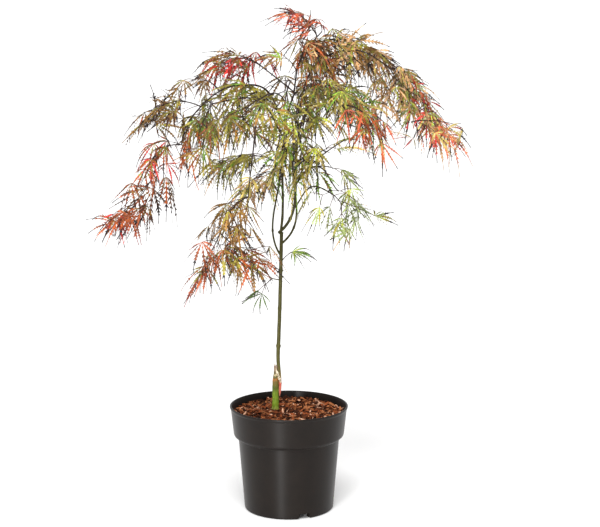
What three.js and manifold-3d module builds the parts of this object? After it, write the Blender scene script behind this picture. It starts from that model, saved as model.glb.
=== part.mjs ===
// A weeping Japanese maple with finely cut leaves, grafted low on a green rootstock, in a
// round nursery pot. Millimetres, +Z up. The origin is on the ground, under the pot's middle.
// Headings are degrees about +Z from +X, and reaches are distances from the Z axis.

import * as THREE from 'three';
import { mergeVertices } from 'three/addons/utils/BufferGeometryUtils.js';
import Module from 'manifold-3d';

const wasm = await Module();
wasm.setup();

// ---------------------------------------------------------------- driving dimensions

const GAP = 0.3; // clearance kept between solids that touch
const LEAF_GAP = 0.5; // the same, from an uneven mass of leaves
const RIGHT = new THREE.Vector3(1, 0, 0);
const AWAY = new THREE.Vector3(0, 1, 0);
const UP = new THREE.Vector3(0, 0, 1);

const POT = {
  height: 170,
  rimRadius: 95.6,
  rimThickness: 3, // across the top edge
  edgeRounding: 0.8,
  lipHeight: 5, // the thin band round the top
  collarRadius: 94, // outside, just under the lip
  collarTaper: 4.6, // how much narrower the collar is at its foot
  collarHeight: 45.5,
  stepHeight: 7, // the slope under the collar
  stepRounding: 1,
  bodyRadius: 81.6, // outside, just under the step
  footRadius: 72.3,
  footRounding: 3,
  wall: 2.4,
  floor: 2.5,
  padRadius: 45, // the flat middle of the underside
  channelWidth: 13, // the raised drain channel round the pad
  channelHeight: 9,
  channelDraft: 1.5, // how far the channel's walls slope
  notches: 3, // drain notches from the channel through the foot
  notchWidth: 20,
  notchTopWidth: 15.5,
  notchHeight: 8.8,
  firstNotch: -69, // heading of the first notch
  segments: 28,
};

const SOIL = {
  edgeHeight: 156.5, // where the mulch meets the wall
  crownHeight: 159.5, // at the middle
  rings: [0.85, 0.6, 0.3], // as shares of the edge's radius
  unevenness: 1.2,
  waves: [0.11, 0.13], // of the unevenness, in radians for each millimetre along X and Y
};

const TRUNK = {
  foot: [-22, 8], // where it leaves the ground, off the pot's middle
  fork: [-11.5, 7.5],
  groundHeight: 158,
  forkHeight: 450,
  bow: 1.4, // how far it bends off the straight lean, to the right
  flutes: 3, // shallow ridges up the bark
  fluteDepth: 0.04, // as a share of the radius
  fluteTwist: 0.05, // in radians for each millimetre of height
  sides: 10,
  // Height over the ground and diameter, from the flared foot past the graft to the fork.
  girths: [
    [0, 14.5],
    [4, 12],
    [12, 10.6],
    [30, 10.9],
    [52, 10.4],
    [64, 9.4],
    [72, 8.2],
    [80, 6.3],
    [96, 5.9],
    [170, 5.5],
    [250, 5.2],
    [292, 5.0],
  ],
};

// The cut end of the rootstock, left standing beside the scion over the graft.
const SNAG = {
  diameter: 6.2,
  lean: [-3, -1.2], // off the trunk's middle line
  bottom: 60, // over the ground
  top: 77,
  slope: 2.6, // how much the cut falls from one side to the other
  sides: 8,
};

const LIMB = { sides: 5, step: 26, fewestSteps: 4, mostSteps: 5 };

const MASS = {
  sides: 8,
  rings: 6,
  socket: 12, // how far a bough's tip reaches into its mass
  sideSocket: 0.2, // the same where it starts part of the way along, as a share of the socket
  sag: 0.22, // how far the leaves hang under the twig, as a share of the drop
  bluntness: 0.8, // under 1, the ends are fuller than an ellipse's
  balance: [0.8, 1.15], // over 1, the rings gather towards the foot
  roughness: 0.13, // unevenness of the outline
  waves: [[2, 3], [3, -5]], // of that unevenness: how many round a ring, and their turn along it
  pulse: [0.7, 9], // swelling from ring to ring: share of the unevenness, and its turn along it
};

// A linear congruential run of numbers, with the usual constants.
const RANDOM = { step: 7919, offset: 17, multiplier: 1103515245, increment: 12345, modulus: 2 ** 31 };

const place = (heading, reach, height) => {
  const angle = THREE.MathUtils.degToRad(heading);
  return new THREE.Vector3(reach * Math.cos(angle), reach * Math.sin(angle), height);
};

// Each limb: what it grows from and how far along that, the places that it passes, where it
// ends, and its diameter at foot and tip.
const LIMBS = [
  // The leaders that fork from the trunk, and the two side stems that rise beside them.
  ['left_leader', ['trunk', 1], [place(165, 9, 536), place(159, 11, 599)], place(43, 12, 674), [4.3, 2.8]],
  ['right_leader', ['trunk', 1], [place(-17, 14, 505), place(-43, 12, 581)], place(-29, 42, 672), [4.1, 2.6]],
  ['left_side_stem', ['trunk', 0.86], [place(153, 31, 451), place(131, 25, 518)],
    place(97, 20, 613), [2.9, 2.4]],
  ['right_side_stem', ['trunk', 0.93], [place(54, 20, 460), place(73, 23, 549)],
    place(74, 42, 627), [2.9, 2.4]],
  // To the left, with the long arch split at its crest.
  ['left_arch_rise', ['left_leader', 0.75], [place(-157, 38, 682)], place(-159, 70, 688), [2.7, 2.4]],
  ['left_arch_fall', ['left_arch_rise', 1], [place(-161, 99, 686), place(-162, 159, 638)],
    place(-162, 174, 599), [2.3, 1.8]],
  ['left_hanging_shoot', ['left_arch_rise', 0.55], [place(-133, 62, 661)], place(-120, 122, 525), [2.2, 1.8]],
  ['left_middle_bough', ['left_leader', 0.68], [place(-144, 51, 663), place(-143, 92, 670)],
    place(-147, 137, 662), [2.5, 1.8]],
  ['upper_left_bough', ['left_leader', 1], [place(133, 48, 705)], place(135, 88, 724), [2.4, 1.8]],
  ['trunk_twig', ['trunk', 0.74], [], place(180, 27, 378), [1.8, 1.6]],
  // At the top.
  ['top_shoot', ['left_leader', 1], [place(40, 15, 699), place(25, 23, 732)], place(14, 54, 768), [2.6, 1.8]],
  ['top_right_bough', ['top_shoot', 0.7], [place(41, 61, 751)], place(30, 109, 756), [2.2, 1.8]],
  // To the right, with the long arch split at its crest.
  ['right_arch_rise', ['right_side_stem', 1], [place(37, 42, 705), place(29, 51, 722)],
    place(14, 90, 739), [2.5, 2.3]],
  ['right_arch_fall', ['right_arch_rise', 1], [place(9, 117, 738)], place(1, 159, 712), [2.2, 1.8]],
  ['right_front_bough', ['right_leader', 0.92], [place(-60, 92, 687)], place(-55, 153, 657), [2.5, 1.9]],
  ['right_low_bough', ['right_leader', 0.4], [place(-21, 56, 578)], place(-19, 93, 603), [2.3, 1.8]],
  ['lower_right_bough', ['right_leader', 0.2], [place(-47, 54, 533)], place(-47, 103, 522), [2.2, 1.7]],
  ['back_low_right_bough', ['right_side_stem', 0.5], [place(44, 62, 556)], place(41, 106, 508), [2.2, 1.7]],
  // To the front and the back.
  ['front_left_bough', ['left_leader', 0.85], [place(-99, 51, 669), place(-103, 92, 681)],
    place(-107, 136, 675), [2.4, 1.8]],
  ['front_bough', ['right_leader', 1], [place(-62, 70, 690)], place(-76, 112, 690), [2.3, 1.8]],
  ['back_left_bough', ['left_side_stem', 1], [place(126, 74, 655), place(131, 120, 672)],
    place(134, 153, 662), [2.4, 1.8]],
  ['back_low_left_bough', ['left_side_stem', 0.6], [place(117, 45, 560)], place(118, 79, 560), [2.2, 1.8]],
  ['back_right_bough', ['right_side_stem', 0.95], [place(76, 72, 665)], place(70, 112, 679), [2.3, 1.8]],
  ['back_bough', ['left_side_stem', 0.85], [place(95, 70, 655)], place(89, 130, 684), [2.4, 1.8]],
];

// Each mass of leaves: what carries it and how far along that, where its tip hangs, how far
// its twig arches over the straight line, its breadth, the drop of its leaves, and its seed.
const MASSES = [
  ['top_red', ['top_shoot', 1], place(155, 42, 787), 20, 46, 40, 1],
  ['top_crown', ['top_shoot', 0.55], place(18, 92, 738), 14, 84, 60, 2],
  ['top_left', ['top_shoot', 0.3], place(-172, 44, 722), 12, 62, 44, 33],
  ['upper_left', ['upper_left_bough', 1], place(154, 191, 693), 16, 74, 62, 3],
  ['left_shoulder', ['left_arch_fall', 0.3], place(173, 173, 662), 16, 60, 40, 4],
  ['left_arch', ['left_arch_rise', 0.3], place(-166, 140, 692), 16, 60, 30, 5],
  ['far_left', ['left_arch_fall', 0.55], place(-170, 262, 596), 18, 74, 54, 6],
  ['left_red_fan', ['left_arch_fall', 1], place(-165, 244, 537), 8, 58, 42, 7],
  ['left_orange_fan', ['left_middle_bough', 1], place(-145, 196, 520), 22, 72, 70, 8],
  ['far_left_low', ['left_red_fan', 0.4], place(-174, 319, 441), -10, 68, 60, 9],
  ['back_left', ['back_left_bough', 1], place(142, 214, 556), 24, 84, 62, 10],
  ['front_left', ['front_left_bough', 1], place(-113, 212, 592), 22, 92, 66, 11],
  ['back_low_left', ['back_low_left_bough', 1], place(139, 190, 488), 22, 78, 56, 12],
  ['lower_left', ['left_hanging_shoot', 1], place(-130, 168, 438), 6, 78, 72, 13],
  ['lower_left_tip', ['lower_left', 0.72], place(-144, 208, 366), 12, 84, 66, 14],
  ['lower_middle', ['lower_left', 0.7], place(-106, 86, 384), 8, 56, 50, 34],
  ['inner_left', ['back_low_left_bough', 0.35], place(125, 110, 476), 14, 62, 50, 15],
  ['trunk_left', ['trunk_twig', 1], place(-166, 58, 338), 6, 36, 30, 16],
  ['trunk_right', ['trunk', 0.84], place(0, 46, 398), 14, 42, 26, 17],
  ['trunk_bright', ['right_leader', 0.5], place(-60, 58, 500), 10, 46, 46, 18],
  ['right_dome', ['top_right_bough', 1], place(22, 251, 670), 20, 92, 56, 19],
  ['right_cascade', ['right_arch_fall', 0.8], place(-18, 196, 618), 18, 74, 56, 20],
  ['coral_fan', ['right_front_bough', 1], place(-41, 212, 570), 16, 74, 56, 21],
  ['right_inner', ['right_front_bough', 0.45], place(-42, 176, 650), 16, 56, 44, 22],
  ['far_right', ['right_arch_fall', 1], place(10, 254, 570), 20, 80, 58, 23],
  ['far_right_tip', ['right_cascade', 0.92], place(-6, 281, 594), 12, 66, 62, 24],
  ['lower_right_fan', ['lower_right_bough', 1], place(-47, 152, 446), 20, 108, 60, 25],
  ['lower_right_shoulder', ['back_low_right_bough', 0.45], place(26, 139, 484), 14, 64, 50, 26],
  ['right_low', ['right_low_bough', 0.5], place(-14, 168, 580), 16, 60, 44, 27],
  ['back_right', ['back_right_bough', 1], place(51, 202, 600), 22, 86, 64, 28],
  ['back_low_right', ['back_right', 0.5], place(52, 232, 528), 24, 74, 60, 29],
  ['back_crown', ['back_bough', 1], place(92, 226, 590), 24, 96, 66, 30],
  ['front_crown', ['front_bough', 0.35], place(-74, 172, 640), 20, 84, 56, 31],
];

// Colours, with how rough each finish is.
const COLOURS = {
  pot: ['#302c29', 0.5],
  soil: ['#6b4229', 0.95],
  bark: ['#5b5a2c', 0.7],
  shoot: ['#3c2c22', 0.65],
  green: ['#5f6a2c', 0.8],
  bronze: ['#6f4d2a', 0.8],
  red: ['#a8432f', 0.8],
};

// ---------------------------------------------------------------- solids

// A closed body through rings of points, each ring running anticlockwise about the way that
// the rings follow each other, with one point at each end.
function loft(rings, foot, tip) {
  const sides = rings[0].length;
  const points = [foot, ...rings.flat(), tip];
  const last = points.length - 1;
  const at = (ring, side) => 1 + ring * sides + (side % sides);
  const faces = [];
  for (let side = 0; side < sides; side += 1) {
    faces.push(0, at(0, side + 1), at(0, side));
    for (let ring = 0; ring < rings.length - 1; ring += 1) {
      faces.push(at(ring, side), at(ring, side + 1), at(ring + 1, side + 1));
      faces.push(at(ring, side), at(ring + 1, side + 1), at(ring + 1, side));
    }
    faces.push(last, at(rings.length - 1, side), at(rings.length - 1, side + 1));
  }
  const geometry = new THREE.BufferGeometry().setFromPoints(points);
  geometry.setIndex(faces);
  return geometry;
}

// One ring of a loft: an ellipse about a centre, across two directions.
function ellipse(centre, across, along, width, height, sides, swell = () => 1) {
  return Array.from({ length: sides }, (_, side) => {
    const angle = (2 * Math.PI * side) / sides;
    const reach = swell(angle);
    return centre.clone()
      .addScaledVector(across, width * reach * Math.cos(angle))
      .addScaledVector(along, height * reach * Math.sin(angle));
  });
}

function toSolid(geometry) {
  const bare = geometry.clone();
  bare.deleteAttribute('normal');
  bare.deleteAttribute('uv');
  const merged = mergeVertices(bare, 1e-4);
  const index = merged.getIndex().array;
  const faces = [];
  for (let i = 0; i < index.length; i += 3) {
    const [a, b, c] = [index[i], index[i + 1], index[i + 2]];
    if (a !== b && b !== c && c !== a) faces.push(a, b, c);
  }
  return new wasm.Manifold(new wasm.Mesh({
    numProp: 3,
    vertProperties: new Float32Array(merged.getAttribute('position').array),
    triVerts: new Uint32Array(faces),
  }));
}

function toGeometry(solid) {
  const mesh = solid.getMesh();
  const geometry = new THREE.BufferGeometry();
  geometry.setAttribute('position', new THREE.BufferAttribute(mesh.vertProperties, 3));
  geometry.setIndex(new THREE.BufferAttribute(mesh.triVerts, 1));
  geometry.computeVertexNormals();
  return geometry;
}

function nearby(a, b) {
  const [first, second] = [a.boundingBox(), b.boundingBox()];
  return [0, 1, 2].every((k) => first.min[k] <= second.max[k] && second.min[k] <= first.max[k]);
}

// Cuts every nearby cutter from a solid and keeps the largest piece that is left.
function carve(solid, cutters) {
  const cut = cutters.filter((cutter) => nearby(solid, cutter))
    .reduce((rest, cutter) => rest.subtract(cutter), solid);
  return cut.decompose().reduce((best, piece) => (piece.volume() > best.volume() ? piece : best));
}

// ---------------------------------------------------------------- the pot and its soil

// The inside of the pot, from the floor's middle up the wall to the lip: radius and height.
function potInside() {
  const channelFloor = POT.channelHeight + POT.floor;
  const wallAt = (radius) => radius - POT.wall;
  const stepTop = POT.height - POT.collarHeight;
  const slope = (POT.bodyRadius - POT.footRadius) / (stepTop - POT.stepHeight);
  return [
    [0, POT.floor],
    [POT.padRadius - POT.wall, POT.floor],
    [POT.padRadius, channelFloor],
    [wallAt(POT.footRadius + slope * channelFloor), channelFloor],
    [wallAt(POT.bodyRadius), stepTop - POT.stepHeight],
    [wallAt(POT.collarRadius - POT.collarTaper), stepTop],
    [wallAt(POT.collarRadius), POT.height - POT.lipHeight],
  ];
}

// The outside, from the underside's middle to the top edge.
function potOutside() {
  const channelEnd = POT.padRadius + POT.channelWidth;
  const stepTop = POT.height - POT.collarHeight;
  const collarFoot = POT.collarRadius - POT.collarTaper;
  const footBend = POT.footRounding * (1 - Math.SQRT1_2);
  return [
    [0, 0],
    [POT.padRadius, 0],
    [POT.padRadius + POT.channelDraft, POT.channelHeight],
    [channelEnd, POT.channelHeight],
    [channelEnd + POT.channelDraft, 0],
    [POT.footRadius - POT.footRounding, 0],
    [POT.footRadius - footBend, footBend],
    [POT.footRadius, POT.footRounding],
    [POT.bodyRadius, stepTop - POT.stepHeight],
    [collarFoot - POT.stepRounding, stepTop - 2 * POT.stepRounding],
    [collarFoot, stepTop],
    [POT.collarRadius, POT.height - POT.lipHeight],
    [POT.rimRadius, POT.height - POT.lipHeight / 2],
    [POT.rimRadius, POT.height - POT.edgeRounding],
    [POT.rimRadius - POT.edgeRounding, POT.height],
    [POT.rimRadius - POT.rimThickness, POT.height],
  ];
}

function revolve(profile, segments) {
  const outline = profile.map(([radius, height]) => new THREE.Vector2(radius, height));
  return new THREE.LatheGeometry(outline, segments).rotateX(Math.PI / 2);
}

// A drain notch: a cut through the foot, narrower at its top, on the +X side.
function notchCutter() {
  const [half, top] = [POT.notchWidth / 2, POT.notchTopWidth / 2];
  const outline = new THREE.Shape([
    new THREE.Vector2(-half, -1),
    new THREE.Vector2(half, -1),
    new THREE.Vector2(top, POT.notchHeight),
    new THREE.Vector2(-top, POT.notchHeight),
  ]);
  const length = POT.footRadius - POT.padRadius;
  const cutter = new THREE.ExtrudeGeometry(outline, { depth: length, bevelEnabled: false, steps: 1 });
  // The outline's plane stands upright and the cut runs outward from the channel.
  cutter.rotateX(Math.PI / 2).rotateZ(Math.PI / 2);
  return cutter.translate(POT.padRadius + POT.channelWidth / 2, 0, 0);
}

function potSolid() {
  const profile = [...potOutside(), ...potInside().reverse()];
  let solid = toSolid(revolve(profile, POT.segments));
  for (let notch = 0; notch < POT.notches; notch += 1) {
    const heading = POT.firstNotch + (360 * notch) / POT.notches;
    const cutter = notchCutter().rotateZ(THREE.MathUtils.degToRad(heading));
    solid = solid.subtract(toSolid(cutter));
  }
  return solid;
}

// The soil fills the pot up to the mulch, which is a little higher in the middle and uneven.
function soilSolid() {
  const walls = potInside().slice(0, -1)
    .map(([radius, height]) => [Math.max(radius - GAP, 0), height + GAP]);
  const [wallRadius, wallFoot] = walls[walls.length - 1];
  const slope = POT.collarTaper / (POT.collarHeight - POT.lipHeight);
  const edgeRadius = wallRadius + slope * (SOIL.edgeHeight - wallFoot);
  const crown = SOIL.rings.map((share) => [
    edgeRadius * share,
    SOIL.crownHeight - (SOIL.crownHeight - SOIL.edgeHeight) * share * share,
  ]);
  const profile = [...walls, [edgeRadius, SOIL.edgeHeight], ...crown, [0, SOIL.crownHeight]];
  const geometry = revolve(profile, POT.segments);
  const position = geometry.getAttribute('position');
  const inside = edgeRadius - GAP;
  for (let i = 0; i < position.count; i += 1) {
    const [x, y, z] = [position.getX(i), position.getY(i), position.getZ(i)];
    if (z > SOIL.edgeHeight && Math.hypot(x, y) < inside) {
      const swell = Math.sin(x * SOIL.waves[0]) * Math.cos(y * SOIL.waves[1]);
      position.setZ(i, z + SOIL.unevenness * swell);
    }
  }
  return toSolid(geometry);
}

// ---------------------------------------------------------------- trunk and limbs

function trunkPoint(share) {
  const foot = new THREE.Vector3(...TRUNK.foot, TRUNK.groundHeight);
  const fork = new THREE.Vector3(...TRUNK.fork, TRUNK.forkHeight);
  const point = foot.lerp(fork, share);
  point.x += TRUNK.bow * Math.sin(Math.PI * share);
  return point;
}

const trunkSpan = TRUNK.forkHeight - TRUNK.groundHeight;

class TrunkCurve extends THREE.Curve {
  getPoint(share, target = new THREE.Vector3()) {
    return target.copy(trunkPoint(share));
  }
}

// A level ring of points about a centre.
function levelRing(centre, radius, sides, swell) {
  return ellipse(centre, RIGHT, AWAY, radius, radius, sides, swell);
}

// Level rings keep the cut at the ground flat, because the trunk leans only a little.
function trunkSolid(grow = 0) {
  const rings = TRUNK.girths.map(([height, girth], index) => {
    const centre = trunkPoint(height / trunkSpan);
    if (index === 0) centre.z -= grow;
    if (index === TRUNK.girths.length - 1) centre.z += grow;
    const twist = height * TRUNK.fluteTwist;
    const flutes = (angle) => 1 + TRUNK.fluteDepth * Math.cos(TRUNK.flutes * angle + twist);
    return levelRing(centre, girth / 2 + grow, TRUNK.sides, flutes);
  });
  const middle = (ring) => ring
    .reduce((sum, point) => sum.add(point), new THREE.Vector3())
    .divideScalar(TRUNK.sides);
  const trunk = toSolid(loft(rings, middle(rings[0]), middle(rings[rings.length - 1])));
  return trunk.add(snagSolid(grow));
}

function snagSolid(grow) {
  const radius = SNAG.diameter / 2 + grow;
  const ring = (height, slope) => {
    const centre = trunkPoint(height / trunkSpan);
    centre.x += SNAG.lean[0];
    centre.y += SNAG.lean[1];
    const level = levelRing(centre, radius, SNAG.sides);
    level.forEach((point) => { point.z += slope * (point.x - centre.x) / radius; });
    return { level, centre };
  };
  const bottom = ring(SNAG.bottom, 0);
  const top = ring(SNAG.top + grow, -SNAG.slope / 2);
  return toSolid(loft([bottom.level, top.level], bottom.centre, top.centre));
}

// A round limb that tapers evenly along its curve.
function limbSolid(curve, [footGirth, tipGirth], grow = 0) {
  const length = curve.getLength();
  const steps = THREE.MathUtils.clamp(
    Math.round(length / LIMB.step),
    LIMB.fewestSteps,
    LIMB.mostSteps,
  );
  const frames = curve.computeFrenetFrames(steps, false);
  const rings = Array.from({ length: steps + 1 }, (_, step) => {
    const share = step / steps;
    const centre = curve.getPointAt(share);
    if (step === 0) centre.addScaledVector(frames.tangents[0], -grow);
    if (step === steps) centre.addScaledVector(frames.tangents[steps], grow);
    const radius = THREE.MathUtils.lerp(footGirth, tipGirth, share) / 2 + grow;
    return ellipse(centre, frames.normals[step], frames.binormals[step], radius, radius, LIMB.sides);
  });
  const foot = curve.getPointAt(0).addScaledVector(frames.tangents[0], -grow);
  const tip = curve.getPointAt(1).addScaledVector(frames.tangents[steps], grow);
  return toSolid(loft(rings, foot, tip));
}

// ---------------------------------------------------------------- masses of leaves

// A repeatable run of numbers from 0 to 1.
function seeded(seed) {
  let state = seed * RANDOM.step + RANDOM.offset;
  return () => {
    state = (state * RANDOM.multiplier + RANDOM.increment) % RANDOM.modulus;
    return state / RANDOM.modulus;
  };
}

// The twig inside a mass: from just before the carrier's end, over an arch, to the tip.
function massCurve(start, tip, arch, back) {
  const foot = start.clone().addScaledVector(back, -MASS.socket);
  const crest = foot.clone().lerp(tip, 0.5).addScaledVector(UP, arch * 2);
  return new THREE.QuadraticBezierCurve3(foot, crest, tip);
}

// An uneven closed body round the twig, thickest near its middle, hanging under the twig.
function massSolid(curve, breadth, drop, seed, grow = 0) {
  const random = seeded(seed);
  const phases = [random(), random(), random()].map((value) => value * 2 * Math.PI);
  const balance = THREE.MathUtils.lerp(...MASS.balance, random());
  const chord = curve.getPoint(1).sub(curve.getPoint(0)).setZ(0).normalize();
  const across = new THREE.Vector3(-chord.y, chord.x, 0);
  const rings = [];
  for (let ring = 1; ring < MASS.rings; ring += 1) {
    const turn = (Math.PI * ring) / MASS.rings;
    const share = ((1 - Math.cos(turn)) / 2) ** balance;
    const fullness = Math.sin(turn) ** MASS.bluntness;
    const along = curve.getTangent(share).cross(across);
    const centre = curve.getPoint(share).addScaledVector(along, -MASS.sag * drop * fullness);
    const pulse = MASS.pulse[0] * Math.cos(MASS.pulse[1] * share + phases[2]);
    const swell = (angle) => {
      const waves = MASS.waves
        .map(([turns, drift], k) => Math.sin(turns * angle + phases[k] + drift * share));
      return 1 + MASS.roughness * (waves[0] + waves[1] + pulse);
    };
    const [width, height] = [breadth, drop].map((size) => (size / 2) * fullness + grow);
    rings.push(ellipse(centre, across, along, width, height, MASS.sides, swell));
  }
  const foot = curve.getPoint(0).addScaledVector(curve.getTangent(0), -grow);
  const tip = curve.getPoint(1).addScaledVector(curve.getTangent(1), grow);
  return toSolid(loft(rings, foot, tip));
}

// ---------------------------------------------------------------- assembly

const plant = new THREE.Group();
plant.name = 'potted_maple';

function addPart(name, solid, finish) {
  const [color, roughness] = COLOURS[finish];
  const material = new THREE.MeshStandardMaterial({ color, roughness, metalness: 0 });
  const mesh = new THREE.Mesh(toGeometry(solid), material);
  mesh.name = name;
  plant.add(mesh);
}

const trunkCutter = trunkSolid(GAP);
addPart('pot', potSolid(), 'pot');
addPart('soil', carve(soilSolid(), [trunkCutter]), 'soil');
addPart('trunk', trunkSolid(), 'bark');

// Each solid is cut by all before it, grown by the gap, so that nothing overlaps.
const curves = { trunk: new TrunkCurve() };
const cutters = [trunkCutter];

for (const [name, [parent, share], passes, tip, girth] of LIMBS) {
  const curve = new THREE.CatmullRomCurve3([curves[parent].getPointAt(share), ...passes, tip]);
  addPart(`limb_${name}`, carve(limbSolid(curve, girth), cutters), 'shoot');
  curves[name] = curve;
  cutters.push(limbSolid(curve, girth, GAP));
}

for (const [name, [carrier, share], tip, arch, breadth, drop, seed] of MASSES) {
  const start = curves[carrier].getPointAt(share);
  const back = share === 1
    ? curves[carrier].getTangentAt(1)
    : tip.clone().sub(start).normalize().multiplyScalar(MASS.sideSocket);
  const curve = massCurve(start, tip, arch, back);
  const tint = /red|coral|orange/.test(name) ? 'red' : ['green', 'bronze'][seed % 2];
  addPart(`leaves_${name}`, carve(massSolid(curve, breadth, drop, seed), cutters), tint);
  curves[name] = curve;
  cutters.push(massSolid(curve, breadth, drop, seed, LEAF_GAP));
}

export default plant;
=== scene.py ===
"""A weeping maple with finely cut leaves, grafted low, in a round nursery pot."""

import math
from collections import namedtuple

import bpy
import numpy as np
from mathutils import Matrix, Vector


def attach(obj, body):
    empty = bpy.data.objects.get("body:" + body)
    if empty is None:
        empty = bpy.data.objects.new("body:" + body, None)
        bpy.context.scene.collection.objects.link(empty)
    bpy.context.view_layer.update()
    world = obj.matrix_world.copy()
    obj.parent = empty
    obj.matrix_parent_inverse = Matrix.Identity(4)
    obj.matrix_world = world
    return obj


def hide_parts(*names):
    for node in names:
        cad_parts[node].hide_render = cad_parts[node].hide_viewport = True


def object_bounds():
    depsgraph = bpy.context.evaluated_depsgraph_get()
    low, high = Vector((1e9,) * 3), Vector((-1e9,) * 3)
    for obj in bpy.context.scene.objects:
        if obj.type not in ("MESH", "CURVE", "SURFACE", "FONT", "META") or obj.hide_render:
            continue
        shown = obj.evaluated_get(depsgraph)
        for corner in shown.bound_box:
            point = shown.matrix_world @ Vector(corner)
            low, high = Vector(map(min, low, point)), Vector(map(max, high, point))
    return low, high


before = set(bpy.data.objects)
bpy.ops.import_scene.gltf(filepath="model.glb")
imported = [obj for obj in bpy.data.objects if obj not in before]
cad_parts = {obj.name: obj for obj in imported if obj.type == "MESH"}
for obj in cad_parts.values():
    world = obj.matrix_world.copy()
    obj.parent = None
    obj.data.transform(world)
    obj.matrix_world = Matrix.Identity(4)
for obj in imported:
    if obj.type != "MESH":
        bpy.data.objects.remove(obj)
CAD_BOX = [list(corner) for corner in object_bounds()]

bl_info = {
    "name": "Potted weeping maple",
    "version": (1, 0, 0),
    "blender": (4, 5, 0),
    "location": "3D View > Sidebar > Maple",
    "description": "Builds the pot, mulch, trunk, boughs, twigs and leaves of a weeping maple",
    "category": "Object",
}

MM = 0.001
UP = np.array([0.0, 0.0, 1.0])

# What each bough grows from.
PARENTS = {
    "left_leader": "trunk",
    "right_leader": "trunk",
    "left_side_stem": "trunk",
    "right_side_stem": "trunk",
    "left_arch_rise": "left_leader",
    "left_arch_fall": "left_arch_rise",
    "left_hanging_shoot": "left_arch_rise",
    "left_middle_bough": "left_leader",
    "upper_left_bough": "left_leader",
    "trunk_twig": "trunk",
    "top_shoot": "left_leader",
    "top_right_bough": "top_shoot",
    "right_arch_rise": "right_side_stem",
    "right_arch_fall": "right_arch_rise",
    "right_front_bough": "right_leader",
    "right_low_bough": "right_leader",
    "lower_right_bough": "right_leader",
    "back_low_right_bough": "right_side_stem",
    "front_left_bough": "left_leader",
    "front_bough": "right_leader",
    "back_left_bough": "left_side_stem",
    "back_low_left_bough": "left_side_stem",
    "back_right_bough": "right_side_stem",
    "back_bough": "left_side_stem",
}

# The leaf colours, from green to red, with the browns of the hair-thin lobe ends.
TINTS = {
    "deep_green": "#3d5518",
    "leaf_green": "#668527",
    "yellow_green": "#a2ab38",
    "grey_green": "#8c995c",
    "olive": "#857b2c",
    "straw": "#b5a055",
    "tan": "#bc9163",
    "bronze": "#805c27",
    "chestnut": "#472a18",
    "umber": "#1d110b",
    "rust": "#95471a",
    "crimson": "#762a25",
    "scarlet": "#b22f28",
    "coral": "#b95534",
    "plum": "#1f1218",
}

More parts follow.
